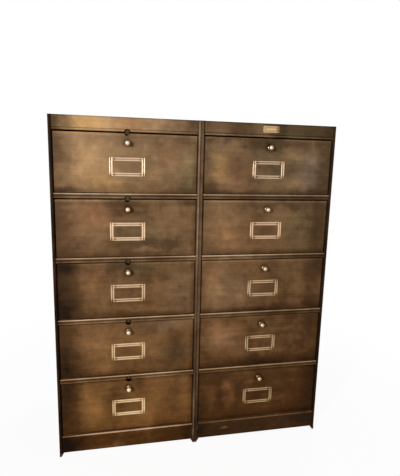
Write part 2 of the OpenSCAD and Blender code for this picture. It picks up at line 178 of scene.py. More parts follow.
# How much of the real shadow shows near the cabinet, and between which distances from its
# middle, in metres, that fades out
SHADOW_SHARE = 0.07
FADE_FROM, FADE_TO = 0.45, 1.5
# Right under the cabinet the shadow is full, so that no slit under the plinth shows white.
# It ends between these shares of the way from the middle to the sides
UNDER_FROM, UNDER_TO = 0.4, 0.7


def seen_rays(tree):
    """1 for rays that come from the camera, a reflection or a clear material, else 0."""
    rays = tree.nodes.new("ShaderNodeLightPath")
    seen = add(tree, MATH, {0: rays.outputs["Is Camera Ray"], 1: rays.outputs["Is Glossy Ray"]},
               operation="MAXIMUM")
    return add(tree, MATH, {0: seen, 1: rays.outputs["Is Transmission Ray"]}, operation="MAXIMUM")


paper = bpy.data.materials.new("matt white studio paper")
paper.use_nodes = True
tree = paper.node_tree
shader = tree.nodes["Principled BSDF"]
shader.inputs["Base Color"].default_value = linear(PAPER_WHITE)
shader.inputs["Roughness"].default_value = PAPER_ROUGHNESS
shader.inputs["Specular IOR Level"].default_value = PAPER_SPECULAR
glow = add(tree, "ShaderNodeEmission", {"Color": linear(WHITE), "Strength": 1.0})
place = add(tree, "ShaderNodeTexCoord", out="Object")
away = add(tree, VECTOR, {0: place}, operation="LENGTH", out="Value")
white = add(tree, RANGE, {"Value": away, "From Min": FADE_FROM, "From Max": FADE_TO,
                          "To Min": 1 - SHADOW_SHARE, "To Max": 1.0},
            interpolation_type="SMOOTHSTEP")
aside = add(tree, VECTOR, {0: place, 1: (1 / cad_box[1][0], 1 / cad_box[1][1], 0)},
            operation="MULTIPLY")
aside = add(tree, VECTOR, {0: aside}, operation="ABSOLUTE")
sides = tree.nodes.new("ShaderNodeSeparateXYZ")
tree.links.new(aside, sides.inputs[0])
outer = add(tree, MATH, {0: sides.outputs["X"], 1: sides.outputs["Y"]}, operation="MAXIMUM")
clear = add(tree, RANGE, {"Value": outer, "From Min": UNDER_FROM, "From Max": UNDER_TO})
white = add(tree, MATH, {0: white, 1: clear}, operation="MULTIPLY")
share = add(tree, MATH, {0: seen_rays(tree), 1: white}, operation="MULTIPLY")
whole = add(tree, "ShaderNodeMixShader", {0: share, 1: shader.outputs[0], 2: glow})
tree.links.new(whole, tree.nodes["Material Output"].inputs["Surface"])
floor.data.materials.append(paper)
print("share of shadow on the paper:", SHADOW_SHARE)

# %% World
ROOM_LIGHT = 0.22

world = bpy.data.worlds.new("even white room")
world.use_nodes = True
bpy.context.scene.world = world
tree = world.node_tree
strength = add(tree, RANGE, {"Value": seen_rays(tree), "To Min": ROOM_LIGHT, "To Max": 1.0})
tree.nodes["Background"].inputs["Color"].default_value = linear(WHITE)
tree.links.new(strength, tree.nodes["Background"].inputs["Strength"])
print("room light:", ROOM_LIGHT)

# %% Two lamps
# Places, aims and sizes are in metres, and powers in watts. The lamp at the front throws the
# shadows of the knobs. The other stands behind, so that the back isn't left in the dark
KEY_PLACE, KEY_AIM = (-1.75, -2.25, 1.35), (-0.1, -0.18, 0.6)
KEY_SIZE, KEY_POWER = 0.24, 84.0
BACK_PLACE, BACK_AIM = (2.2, 2.6, 1.9), (0.1, 0.1, 0.5)
BACK_SIZE, BACK_POWER = 1.2, 80.0


def square_lamp(name, place, aim, size, power):
    """A square area lamp at place that faces the point aim."""
    lamp = bpy.data.objects.new(name, bpy.data.lights.new(name, "AREA"))
    lamp.data.size = size
    lamp.data.energy = power
    back = np.array(place, float) - aim
    back /= np.linalg.norm(back)
    right = np.cross((0, 0, 1), back)
    right /= np.linalg.norm(right)
    axes = np.column_stack([right, np.cross(back, right), back])
    lamp.matrix_world = Matrix.Translation(place) @ Matrix(axes.tolist()).to_4x4()
    bpy.context.scene.collection.objects.link(lamp)


square_lamp("key_lamp", KEY_PLACE, KEY_AIM, KEY_SIZE, KEY_POWER)
square_lamp("back_lamp", BACK_PLACE, BACK_AIM, BACK_SIZE, BACK_POWER)
print("lamp powers:", KEY_POWER, BACK_POWER)

# %% [markdown]
# ## Patina on burnished steel
# The sheets are mild steel that was stripped, browned with a chemical patina, rubbed with
# abrasive wool and waxed. The material first works out one amount, from 0 for thick film to 1
# for nearly bare metal, and only then picks a colour for it. The amount is mostly how much of
# the brown film has been rubbed off, but painted light and painted shade are added into it too.
# It is a sum of slow clouds, finer mottling, level rubbing marks, bands along edges, and soft
# patches. Some bands and patches are wear where hands and cloths rubbed or missed, and others
# are painted highlights, painted reflections and painted shade. An image could hold all that
# too, but it would be fixed to one size of panel. Here each part of the sum reads the place in
# real millimetres and lies still as a flap moves.

# %% Colours of the film, from thick to rubbed through
# Each stop is (amount rubbed off, colour). Near the floor the film is written darker and
# warmer: painted shade, as the light falls off toward the floor. The tones tint it where it was
# heated or oiled unevenly
STEEL_TOP = [(0.0, "#271a10"), (0.3, "#523e2a"), (0.5, "#775e44"), (0.75, "#a9875f"),
             (1.0, "#cfaa7c")]
STEEL_FOOT = [(0.0, "#150a03"), (0.3, "#44280c"), (0.5, "#67431e"), (0.75, "#946132"),
              (1.0, "#bf9060")]
TONES = {"gold": "#aa8145", "rust": "#965c3f", "olive": "#6c6446", "grey": "#80796c"}
print("sheet steel at the top, dark to bare:", ", ".join(code for _, code in STEEL_TOP))

# %% Clouds, mottling and rubbing marks
CLOUD_MM, MOTTLE_MM = 100, 17
# Length and width of a fine mark and of a long smear. Wool scratches are a tenth of a
# millimetre wide, too fine to show, so the marks are drawn as coarse as they need to be
MARK_MM, SMEAR_MM = (75, 2.4), (150, 14)


def over(millimetres):
    """The scale of a noise whose features are that many millimetres across."""
    return 1 / (millimetres * MM)


def film_noises(tree, place, along):
    """Four patterns of the film, each about 0.5 on average: clouds, mottling, marks and smears.
    Wool rubs along one axis, so the noise of the last two is drawn out that way."""
    clouds = add(tree, NOISE, {"Vector": place, "Scale": over(CLOUD_MM), "Detail": 4.0,
                               "Roughness": 0.55, "Distortion": 0.5})
    mottle = add(tree, NOISE, {"Vector": place, "Scale": over(MOTTLE_MM), "Detail": 3.0,
                               "Roughness": 0.6})
    drawn = []
    for long_mm, wide_mm in (MARK_MM, SMEAR_MM):
        scale = [over(wide_mm)] * 3
        scale[along] = over(long_mm)
        stretched = add(tree, "ShaderNodeMapping", {"Vector": place, "Scale": scale})
        drawn.append(add(tree, NOISE, {"Vector": stretched, "Scale": 1.0, "Detail": 3.0,
                                       "Roughness": 0.6}))
    return clouds, mottle, *drawn


print("clouds and mottling in mm:", CLOUD_MM, MOTTLE_MM, "marks and smears:", MARK_MM, SMEAR_MM)

# %% Where a point lies on a panel
# A patch on the face fades out over that depth, so that it stays off the folds behind
PATCH_DEPTH = 50 * MM
# Its rim wanders in lobes of that size, by up to half of these shares of the panel
LOBE_MM, WANDER = 42, (0.16, 0.3, 0)


def panel_place(tree, place, box, across):
    """The point's place on a panel, first exact and then wandering, so that a patch gets a
    ragged rim: 0 to 1 along the two axes in across, and third how far it lies behind the
    front, where 1 is the depth of a patch."""
    low, high = box
    behind = ({0, 1, 2} - set(across)).pop()
    size = [high[i] - low[i] for i in range(3)]
    size[behind] = PATCH_DEPTH
    level = add(tree, "ShaderNodeMapping", {
        "Vector": place, "Location": [-low[i] / size[i] for i in range(3)],
        "Scale": [1 / s for s in size]})
    parts = tree.nodes.new("ShaderNodeSeparateXYZ")
    tree.links.new(level, parts.inputs[0])
    u, v, w = (parts.outputs[i] for i in (*across, behind))
    at = add(tree, "ShaderNodeCombineXYZ", {"X": u, "Y": v, "Z": w})
    noise = add(tree, NOISE, {"Vector": place, "Scale": over(LOBE_MM), "Detail": 3.0,
                              "Roughness": 0.55}, out="Color")
    middle = add(tree, VECTOR, {0: noise, 1: (0.5, 0.5, 0.5)}, operation="SUBTRACT")
    push = add(tree, VECTOR, {0: middle, 1: WANDER}, operation="MULTIPLY")
    return at, add(tree, VECTOR, {0: at, 1: push}, operation="ADD")


def soft_patch(tree, at, centre, radius):
    """1 at the centre of an ellipse on the panel, falling smoothly to 0 at its rim."""
    off = add(tree, VECTOR, {0: at, 1: (*centre, 0)}, operation="SUBTRACT")
    scaled = add(tree, VECTOR, {0: off, 1: (1 / radius[0], 1 / radius[1], 1)},
                 operation="MULTIPLY")
    length = add(tree, VECTOR, {0: scaled}, operation="LENGTH", out="Value")
    return add(tree, RANGE, {"Value": length, "To Min": 1.0, "To Max": 0.0},
               interpolation_type="SMOOTHSTEP")


print("rims of patches wander in lobes of", LOBE_MM, "mm")

# %% Places along the axes, and the rows
pins_low, pins_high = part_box("hinge_pins")
ROWS = sum(part.startswith("left_flap_leaf") for part in nodes)
PIN_R = 1.3 * MM
# A row's section is measured from that far over its pin down to the same place in the next
OVER_PIN = 20 * MM
TOP_PIN = pins_high.z - PIN_R
ROW_PITCH = (TOP_PIN - pins_low.z - PIN_R) / (ROWS - 1)


def axis_places(tree, place):
    """The point's X, Y and Z, and its height over the hinge pin of its own row, which repeats
    from row to row."""
    parts = tree.nodes.new("ShaderNodeSeparateXYZ")
    tree.links.new(place, parts.inputs[0])
    above = add(tree, MATH, {0: parts.outputs["Z"], 1: TOP_PIN}, operation="SUBTRACT")
    in_row = add(tree, MATH, {0: above, 1: OVER_PIN, 2: OVER_PIN - ROW_PITCH}, operation="WRAP")
    return {"x": parts.outputs["X"], "y": parts.outputs["Y"], "z": parts.outputs["Z"],
            "row": in_row}


def edge_bands(box, left, right, foot, top, widths):
    """Bands along the four edges of an upright panel, each (axis, from, to, amount at from,
    amount at to). left, right, foot and top say how much darker each edge is, or lighter if
    they are negative, and widths how far in each band reaches, in millimetres."""
    low, high = box
    reach = [w * MM for w in widths]
    return [("x", low.x, low.x + reach[0], -left, 0), ("x", high.x - reach[1], high.x, 0, -right),
            ("z", low.z, low.z + reach[2], -foot, 0), ("z", high.z - reach[3], high.z, 0, -top)]


print("rows:", ROWS, "row pitch in mm:", round(ROW_PITCH / MM, 2))

# %% How far the film is rubbed, with painted light and shade
# How much clouds, mottling, marks and smears each count in the sum
SWINGS = (0.5, 0.17, 0.07, 0.18)


def amount_of_wear_and_painted_light(tree, rub, patterns, grain, axes, bands, patches):
    """The amount at each point: rub, plus each pattern less its average of 0.5, plus the bands,
    each (axis, from, to, amount at from, amount at to), and the patches, each (place on the
    panel, centre, radius, amount). grain makes the patterns stronger or weaker."""
    swings = [swing * grain for swing in SWINGS]
    amount = rub - 0.5 * sum(swings)
    for pattern, swing in zip(patterns, swings):
        amount = add(tree, MATH, {0: pattern, 1: swing, 2: amount}, operation="MULTIPLY_ADD")
    for axis, start, end, first, last in bands:
        band = add(tree, RANGE, {"Value": axes[axis], "From Min": start, "From Max": end,
                                 "To Min": first, "To Max": last},
                   interpolation_type="SMOOTHSTEP")
        amount = add(tree, MATH, {0: amount, 1: band}, operation="ADD")
    for at, centre, radius, more in patches:
        amount = add(tree, MATH, {0: soft_patch(tree, at, centre, radius), 1: more, 2: amount},
                     operation="MULTIPLY_ADD")
    return amount


print("patterns may swing the amount by", round(sum(SWINGS) / 2, 2), "either way")

# %% The colour of that much film
CABINET_TOP = cad_box[1][2]


def film_colour(tree, amount, up, film, at, hues):
    """The colour of that amount on two ramps, near the floor and near the top, mixed by how
    high up the point is. Then it is tinted, but no lighter or darker, by hues, each (tone,
    centre, radius, share of the tone), at a place on the panel."""
    # Mixing toward the darker ramp near the floor paints shade
    height = add(tree, RANGE, {"Value": up, "From Max": CABINET_TOP})
    foot, top = (add(tree, RAMP, {"Fac": amount}, stops=stops) for stops in film)
    colour = add(tree, MIX, {"Factor": height, "A": foot, "B": top}, data_type="RGBA")
    for tone, centre, radius, share in hues:
        reach = add(tree, MATH, {0: soft_patch(tree, at, centre, radius), 1: share},
                    operation="MULTIPLY")
        colour = add(tree, MIX, {"Factor": reach, "A": colour, "B": linear(TONES[tone])},
                     data_type="RGBA", blend_type="COLOR")
    return colour


print("tones of the film:", ", ".join(TONES))

# %% The relief of the sheet
# Width and depth of the waves of a hand-rubbed sheet, and depth of its marks
WAVE_MM, WAVE_DEPTH, MARK_DEPTH = 130, 1.2 * MM, 0.05 * MM
RELIEF = 0.5


def sheet_relief(tree, place, marks, grain):
    """The normal of a sheet that waves a little, and is scored by the fine marks."""
    waves = add(tree, NOISE, {"Vector": place, "Scale": over(WAVE_MM), "Detail": 1.0})
    wavy = add(tree, "ShaderNodeBump", {"Height": waves, "Distance": WAVE_DEPTH,
                                        "Strength": RELIEF * grain}, out="Normal")
    return add(tree, "ShaderNodeBump", {"Height": marks, "Distance": MARK_DEPTH,
                                        "Strength": RELIEF, "Normal": wavy}, out="Normal")


print("waves and marks, depth in mm:", WAVE_DEPTH / MM, MARK_DEPTH / MM)

# %% The finish of rubbed metal, with painted light and shade
# Film is waxy and dull up to the first amount, and metal is smoothest from the second. Film
# and wax cover most of the steel, so only a quarter of its shine is that of metal, and the
# rest is a weak gloss
DULL_TO, SMOOTH_FROM = 0.2, 0.9
WAXED_SPECULAR = 0.04


def metal_of_wear_and_painted_light(name, box, rub, film=(STEEL_FOOT, STEEL_TOP), bands=(), wear_and_painted_light=(), hues=(),
                 grime_and_painted_shade=(), across=(0, 2), along=0, metallic=0.25, roughness=(0.56, 0.36),
                 grain=1.0):
    """Metal whose colour and gloss follow one amount: how far its film is rubbed, with painted
    light and shade added in. rub is that amount on average, and it is more or less by bands, and
    by worn patches and dirty ones, each (centre, radius, amount), among which lie painted
    highlights and painted shade. Centres and radii are shares of the panel that fills box, along
    its axes across. Dirty patches keep their exact place, while worn ones and hues get a ragged
    rim. film holds the colours near the floor and near the top, along is the axis of the rubbing
    marks, and roughness is that of the film and that of the metal."""
    material = bpy.data.materials.new(name)
    material.use_nodes = True
    tree = material.node_tree
    shader = tree.nodes["Principled BSDF"]
    place = add(tree, "ShaderNodeTexCoord", out="Object")
    axes = axis_places(tree, place)
    exact, ragged = panel_place(tree, place, box, across)
    patterns = film_noises(tree, place, along)
    patches = [(exact, *spot) for spot in grime_and_painted_shade] + [(ragged, *spot) for spot in wear_and_painted_light]
    amount = amount_of_wear_and_painted_light(tree, rub, patterns, grain, axes, bands, patches)
    colour = film_colour(tree, amount, axes["z"], film, ragged, hues)
    gloss = add(tree, RANGE, {"Value": amount, "From Min": DULL_TO, "From Max": SMOOTH_FROM,
                              "To Min": roughness[0], "To Max": roughness[1]})
    tree.links.new(colour, shader.inputs["Base Color"])
    tree.links.new(gloss, shader.inputs["Roughness"])
    tree.links.new(sheet_relief(tree, place, patterns[2], grain), shader.inputs["Normal"])
    shader.inputs["Metallic"].default_value = metallic
    shader.inputs["Specular IOR Level"].default_value = WAXED_SPECULAR
    return material


def finish(part, material):
    """Gives a part its one material."""
    mesh = nodes[part].data
    mesh.materials.clear()
    mesh.materials.append(material)


print("film is dull up to", DULL_TO, "and metal is smoothest from", SMOOTH_FROM)

# %% [markdown]
# ## The ten flaps
# No two flaps have worn alike. The top left one is the lightest and the lower right one the
# darkest, partly wear and partly painted light and shade, as the light falls off from the top
# left. One shared texture would repeat, and ten painted ones would be hard to change. Each flap
# has one base amount instead, some soft patches that are lighter or darker, among them painted
# reflections, and a few where the film has another tint.

# %% Wear and tints of each flap
# Each flap's amount, its patches (centre, radius, amount) and its tints (tone, centre, radius,
# share). Row 1 is the top row. The amounts fall from the top left to the lower right partly as
# painted shade, and the broad light patch left of the middle of a flap is partly a painted
# reflection
FLAPS = {
    "left_flap_1": (0.465, [
        ((0.27, 0.5), (0.34, 0.9), 0.2), ((0.34, 0.12), (0.26, 0.2), 0.08),
        ((0.58, 0.95), (0.35, 0.22), -0.1), ((0.06, 0.04), (0.12, 0.16), -0.2),
        ((0.9, 0.1), (0.25, 0.35), -0.1), ((0.77, 0.6), (0.1, 0.25), -0.06),
        ((0.93, 0.92), (0.14, 0.28), -0.14), ((0.5, 0.03), (0.8, 0.2), -0.06)],
        [("gold", (0.36, 0.1), (0.3, 0.4), 0.29), ("rust", (0.77, 0.65), (0.16, 0.4), 0.2),
         ("olive", (0.93, 0.3), (0.14, 0.6), 0.33)]),
    "left_flap_2": (0.385, [
        ((0.22, 0.45), (0.28, 0.6), 0.12), ((0.84, 0.75), (0.2, 0.3), 0.13),
        ((0.47, 0.92), (0.22, 0.26), -0.13), ((0.72, 0.27), (0.32, 0.2), -0.14),
        ((0.62, 0.1), (0.2, 0.07), 0.12), ((0.9, 0.32), (0.13, 0.4), 0.11),
        ((0.12, 0.78), (0.14, 0.25), 0.06), ((0.95, 0.98), (0.12, 0.14), -0.14),
        ((0.72, 0.9), (0.14, 0.24), -0.08), ((0.5, 0.1), (0.14, 0.24), -0.09)],
        [("rust", (0.27, 0.72), (0.24, 0.34), 0.42), ("olive", (0.65, 0.3), (0.4, 0.3), 0.33)]),
    "left_flap_3": (0.375, [
        ((0.03, 0.45), (0.2, 1.0), -0.18), ((0.29, 0.5), (0.2, 0.6), 0.1),
        ((0.5, 0.93), (0.18, 0.28), -0.16), ((0.62, 0.14), (0.38, 0.14), 0.1),
        ((0.8, 0.45), (0.2, 0.35), 0.08), ((0.63, 0.75), (0.1, 0.28), -0.13),
        ((0.93, 0.95), (0.14, 0.18), -0.12), ((0.03, 0.04), (0.2, 0.4), -0.14),
        ((0.02, 0.96), (0.2, 0.34), -0.24), ((0.29, 0.5), (0.1, 0.3), -0.05),
        ((0.9, 0.2), (0.18, 0.4), 0.06), ((0.49, 0.39), (0.1, 0.09), 0.12)],
        [("rust", (0.28, 0.75), (0.16, 0.4), 0.33), ("olive", (0.55, 0.9), (0.3, 0.3), 0.26),
         ("grey", (0.92, 0.4), (0.2, 0.8), 0.12)]),
    "left_flap_4": (0.425, [
        ((0.05, 0.25), (0.18, 0.6), -0.16), ((0.25, 0.6), (0.22, 0.45), 0.09),
        ((0.88, 0.42), (0.12, 0.4), -0.14), ((0.8, 0.1), (0.2, 0.2), -0.13),
        ((0.86, 0.92), (0.2, 0.18), 0.1), ((0.03, 0.05), (0.2, 0.3), -0.09),
        ((0.03, 0.96), (0.2, 0.26), -0.08), ((0.3, 0.12), (0.14, 0.26), 0.08)],
        [("olive", (0.86, 0.35), (0.2, 0.5), 0.22), ("grey", (0.8, 0.95), (0.34, 0.3), 0.18)]),
    "left_flap_5": (0.44, [
        ((0.22, 0.45), (0.2, 0.65), 0.17), ((0.0, 0.6), (0.17, 0.9), -0.14),
        ((0.5, 0.25), (0.35, 0.3), 0.05), ((0.35, 0.0), (0.45, 0.12), 0.12),
        ((0.02, 0.92), (0.2, 0.3), -0.1), ((0.3, 0.92), (0.14, 0.22), 0.07),
        ((0.93, 0.9), (0.16, 0.26), 0.09), ((0.5, 0.5), (0.2, 0.4), -0.06)],
        [("gold", (0.2, 0.35), (0.3, 0.5), 0.26), ("gold", (0.52, 0.5), (0.3, 0.5), 0.2)]),
    "right_flap_1": (0.38, [
        ((0.12, 0.42), (0.15, 0.45), 0.2), ((0.22, 0.22), (0.2, 0.26), 0.12),
        ((0.22, 0.85), (0.16, 0.2), 0.1), ((0.75, 0.68), (0.26, 0.2), 0.14),
        ((0.78, 0.25), (0.26, 0.2), 0.1), ((0.48, 0.9), (0.26, 0.2), -0.17),
        ((0.15, 1.0), (0.3, 0.14), -0.1), ((0.5, 0.97), (1.2, 0.24), -0.07),
        ((0.05, 0.06), (0.18, 0.24), -0.16), ((0.92, 0.2), (0.14, 0.5), -0.14)],
        [("gold", (0.12, 0.42), (0.14, 0.4), 0.42), ("rust", (0.63, 0.72), (0.08, 0.3), 0.42),
         ("rust", (0.3, 0.35), (0.2, 0.6), 0.21), ("olive", (0.55, 0.6), (0.3, 0.8), 0.33),
         ("grey", (0.86, 0.4), (0.22, 0.6), 0.33)]),
    "right_flap_2": (0.42, [
        ((0.22, 0.45), (0.26, 0.5), 0.1), ((0.68, 0.96), (0.5, 0.18), -0.14),
        ((0.92, 0.62), (0.14, 0.7), -0.16), ((0.72, 0.9), (0.15, 0.24), -0.08)],
        [("rust", (0.3, 0.3), (0.35, 0.5), 0.21), ("olive", (0.8, 0.5), (0.3, 0.8), 0.21)]),
    "right_flap_3": (0.42, [
        ((0.12, 0.4), (0.16, 0.5), 0.18), ((0.1, 0.72), (0.12, 0.3), 0.08),
        ((0.5, 0.03), (0.4, 0.18), -0.14), ((0.9, 0.4), (0.12, 0.7), -0.16),
        ((0.69, 0.36), (0.13, 0.6), -0.08), ((0.28, 0.34), (0.12, 0.44), 0.07),
        ((0.84, 0.55), (0.1, 0.3), 0.04), ((0.96, 0.96), (0.18, 0.3), -0.1),
        ((0.96, 0.04), (0.18, 0.3), -0.1), ((0.1, 0.95), (0.16, 0.26), 0.05)],
        [("gold", (0.12, 0.38), (0.16, 0.4), 0.2), ("rust", (0.1, 0.7), (0.14, 0.3), 0.26),
         ("grey", (0.22, 0.45), (0.3, 0.7), 0.14)]),
    "right_flap_4": (0.39, [
        ((0.18, 0.58), (0.27, 0.5), 0.28), ((0.12, 0.85), (0.14, 0.2), 0.04),
        ((0.55, 0.06), (0.5, 0.26), -0.23), ((0.88, 0.5), (0.14, 0.7), -0.16),
        ((0.86, 0.97), (0.34, 0.28), -0.13), ((0.96, 0.03), (0.16, 0.26), -0.12)],
        [("rust", (0.22, 0.6), (0.24, 0.6), 0.24), ("grey", (0.2, 0.5), (0.3, 0.5), 0.1)]),
    "right_flap_5": (0.3, [
        ((0.22, 0.74), (0.1, 0.26), 0.2), ((0.26, 0.42), (0.08, 0.34), 0.12),
        ((0.36, 0.55), (0.07, 0.5), -0.06), ((0.3, 0.88), (0.13, 0.2), 0.07),
        ((0.74, 0.1), (0.18, 0.26), -0.09), ((0.97, 0.5), (0.18, 1.0), -0.12),
        ((0.95, 0.94), (0.18, 0.26), -0.1), ((0.02, 0.25), (0.09, 0.7), -0.14)],
        [("rust", (0.24, 0.55), (0.14, 0.5), 0.42)]),
}
print("patches on all flaps:", sum(len(wear_and_painted_light) for _, wear_and_painted_light, _ in FLAPS.values()))

# %% Flap finishes
# How much darker the top edge of a flap is, row by row, or lighter if that is below zero. The
# lighter top edges of the upper rows are painted light against the shadow of the rail above.
# The same follows for the left end, right end and foot of the flaps in a column, with the
# widths of all four bands in millimetres. The darker outer ends are painted shade, where the
# broad reflection in the middle of a flap falls off
TOP_EDGE_PAINTED_LIGHT = (-0.1, -0.15, -0.12, -0.02, 0.08)
LEFT_COLUMN_PAINTED_SHADE, LEFT_WIDTHS = (0.17, -0.05, 0.06), (95, 60, 20, 10)
RIGHT_COLUMN_PAINTED_SHADE, RIGHT_WIDTHS = (0.02, 0.06, 0.13), (30, 80, 20, 10)
# A cloth leaves dirt inside a label holder. The ring round a knob is partly dirt and partly
# painted shadow of the knob, and on the left a darker line runs along the middle stile. Each is
# (radius, amount)
KNOB_DIRT_AND_SHADOW, CARD_PATCH = ((0.046, 0.115), -0.26), ((0.16, 0.22), -0.06)
STILE_LINE = ((0.05, 2), -0.13)


def share_of(part, box):
    """Where the middle of a part lies on the upright panel that fills box, from 0 to 1."""
    low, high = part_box(part)
    return tuple(((low[i] + high[i]) / 2 - box[0][i]) / (box[1][i] - box[0][i]) for i in (0, 2))


for part, (rub, wear_and_painted_light, hues) in FLAPS.items():
    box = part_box(part)
    on_left = part.startswith("left")
    # The ring round the knob is partly painted shadow of the knob
    grime_and_painted_shade = [(share_of(part.replace("flap", "knob"), box), *KNOB_DIRT_AND_SHADOW),
             (share_of(part.replace("flap", "label_holder"), box), *CARD_PATCH)]
    if on_left:
        grime_and_painted_shade.append(((1, 0.5), *STILE_LINE))
    # Painted shade at the outer ends and painted light along the upper top edges
    edges, widths = (LEFT_COLUMN_PAINTED_SHADE, LEFT_WIDTHS) if on_left else (RIGHT_COLUMN_PAINTED_SHADE, RIGHT_WIDTHS)
    bands = edge_bands(box, *edges, TOP_EDGE_PAINTED_LIGHT[int(part[-1]) - 1], widths)
    finish(part, metal_of_wear_and_painted_light("rubbed patina steel " + part.replace("_", " "), box, rub=rub,
                              bands=bands, wear_and_painted_light=wear_and_painted_light, hues=hues, grime_and_painted_shade=grime_and_painted_shade))
print("flaps finished:", len(FLAPS))

# %% [markdown]
# ## Header, rails and plinth
# These were folded from strip, and hands and dropped flaps polish what stands proud. On a
# rail the rolled bead is a bright line, partly polish and partly a painted highlight, the
# groove under it is darkened as painted shade, and the nose at the bottom is as bright as a
# flap. A mask could be painted for each rail, but every row has the same section, so here the
# bands read the height over the row's own hinge pin, which repeats up the cabinet.

# %% Rails
STRIP = [(0.0, "#1f140b"), (0.3, "#463422"), (0.5, "#6d5843"), (0.75, "#a58e77"),
         (1.0, "#cdb7a0")]
STRIP_FOOT = [(0.0, "#1d1106"), (0.3, "#483017"), (0.5, "#6e502f"), (0.75, "#a78763"),
              (1.0, "#cfb491")]
# Bead: partly polish and partly a painted highlight. Groove: painted shade
BEAD_POLISH_AND_HIGHLIGHT, GROOVE_PAINTED_SHADE = 0.34, -0.2


def strip_bands(nose):
    """Bands up the section of a rail, by the height over the hinge pin in metres: the nose at
    the bottom, the groove over it, darkened as painted shade, and the bead on top, lightened
    partly as polish and partly as a painted highlight."""
    return [("row", -10.5 * MM, -8.4 * MM, nose, 0), ("row", -8.6 * MM, -6.6 * MM, 0, GROOVE_PAINTED_SHADE),
            ("row", -6.4 * MM, -4.2 * MM, 0, -GROOVE_PAINTED_SHADE), ("row", -3.6 * MM, -0.6 * MM, 0, BEAD_POLISH_AND_HIGHLIGHT)]


# The amount of each pair of rails, how much more on its nose and at its left end, its patches
RAILS = {
    "left_rails": (0.46, 0.03, -0.22, [
        ((0.72, 0.86), (0.34, 0.42), -0.14), ((0.12, 0.4), (0.3, 0.5), 0.06),
        ((0.4, 0.67), (0.6, 0.14), -0.06)]),
    "right_rails": (0.4, -0.04, 0, [
        ((0.85, 0.5), (0.5, 0.8), -0.1), ((0.1, 0.6), (0.3, 0.4), 0.1),
        ((0.45, 0.67), (0.6, 0.14), 0.1), ((0.5, 1), (0.8, 0.14), -0.06)]),
}
for part, (rub, nose, left_end, wear_and_painted_light) in RAILS.items():
    low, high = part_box(part)
    bands = [*strip_bands(nose), ("x", low.x + 70 * MM, low.x + 8 * MM, 0, left_end)]
    finish(part, metal_of_wear_and_painted_light("rubbed steel " + part.replace("_", " "), (low, high),
                              film=(STRIP_FOOT, STRIP), rub=rub, bands=bands, wear_and_painted_light=wear_and_painted_light,
                              roughness=(0.5, 0.34)))
print("rails:", ", ".join(RAILS))

# %% Header and top
# The amount of each header, how much more on its lip, its patches and its tints. The light
# patches and the dark ends of the left header are a painted reflection
HEADERS = {
    "left_top": (0.475, -0.02, [
        ((0.3, 0.5), (0.34, 3), 0.24), ((0.62, 0.5), (0.3, 3), 0.08),
        ((0.0, 0.5), (0.2, 3), -0.3), ((1.0, 0.5), (0.16, 3), -0.18)],
        [("gold", (0.22, 0.6), (0.22, 2), 0.42), ("rust", (0.52, 0.4), (0.16, 2), 0.26)]),
    "right_top": (0.33, 0.12, [
        ((0.42, 0.5), (0.12, 3), 0.04), ((0.3, 0.5), (0.3, 3), -0.03),
        ((1.0, 0.5), (0.5, 3), -0.2), ((0.57, 0.5), (0.1, 3), -0.2)],
        [("olive", (0.7, 0.5), (0.4, 2), 0.26)]),
}
for part, (rub, lip, wear_and_painted_light, hues) in HEADERS.items():
    low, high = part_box(part)
    # The lip at the foot, where more is a painted highlight, the dark fold over it, painted
    # shade, and the top edge, where dust lies
    bands = [("z", low.z + 5 * MM, low.z + 3.4 * MM, 0, lip),
             ("z", low.z + 9 * MM, low.z + 5.6 * MM, 0, -0.2),
             ("z", low.z + 5.6 * MM, low.z + 4.8 * MM, 0, 0.2),
             ("z", high.z - 5 * MM, high.z - 1 * MM, 0, -0.12)]
    finish(part, metal_of_wear_and_painted_light("rubbed steel header " + part.replace("_top", ""), (low, high),
                              rub=rub, bands=bands, wear_and_painted_light=wear_and_painted_light, hues=hues,
                              roughness=(0.64, 0.5)))
print("headers:", ", ".join(HEADERS))

# %% Plinths
# The amount of each plinth, how much more on its bead, its patches and its tints
PLINTHS = {
    "left_plinth": (0.29, 0.5, [
        ((0.3, 0.5), (0.26, 2), 0.1), ((0.6, 0.5), (0.4, 2), 0.02),
        ((0.0, 0.5), (0.24, 2), -0.36), ((1.0, 0.5), (0.1, 2), -0.16)], []),
    "right_plinth": (0.18, 0.3, [
        ((0.0, 0.5), (0.12, 2), -0.14), ((1.0, 0.5), (0.14, 2), -0.08),
        ((0.222, 0.52), (0.06, 0.12), 0.34), ((0.19, 0.44), (0.04, 0.12), 0.16)],
        [("grey", (0.5, 0.5), (2, 4), 0.11)]),
}
SKIRT = STEEL_FOOT[:2] + [(0.5, "#6b4a2b"), (0.75, "#ab8d70"), (1.0, "#cdb59c")]
for part, (rub, bead, wear_and_painted_light, hues) in PLINTHS.items():
    low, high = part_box(part)
    # The bead along the top, lightened partly as polish and partly as a painted highlight,
    # which dulls again on its upper side
    bands = [("z", high.z - 8 * MM, high.z - 5.5 * MM, 0, bead),
             ("z", high.z - 1.8 * MM, high.z, 0, -0.7 * bead)]
    finish(part, metal_of_wear_and_painted_light("rubbed steel plinth " + part.replace("_plinth", ""), (low, high),
                              film=(SKIRT, SKIRT), rub=rub, bands=bands, wear_and_painted_light=wear_and_painted_light,
                              hues=hues))
print("plinths:", ", ".join(PLINTHS))

# %% [markdown]
# ## Walls
# A side wall ends in front in a half-round stile. The crowns of the two stiles in the middle
# are lighter, partly rubbed by every hand that reaches for a flap and partly a painted
# highlight, and the outer stiles are nearly black, which is painted shade. The wall behind a
# stile keeps its calm film. A material for each of the three would meet the next in a hard
# line, so here two bands along Y join their amounts: wall, flank of the stile, and crown.

# %% Stiles and side walls
WORN = [(0.0, "#1a0f07"), (0.3, "#453020"), (0.5, "#6b4f37"), (0.75, "#a88b70"),
        (1.0, "#cdb59c")]
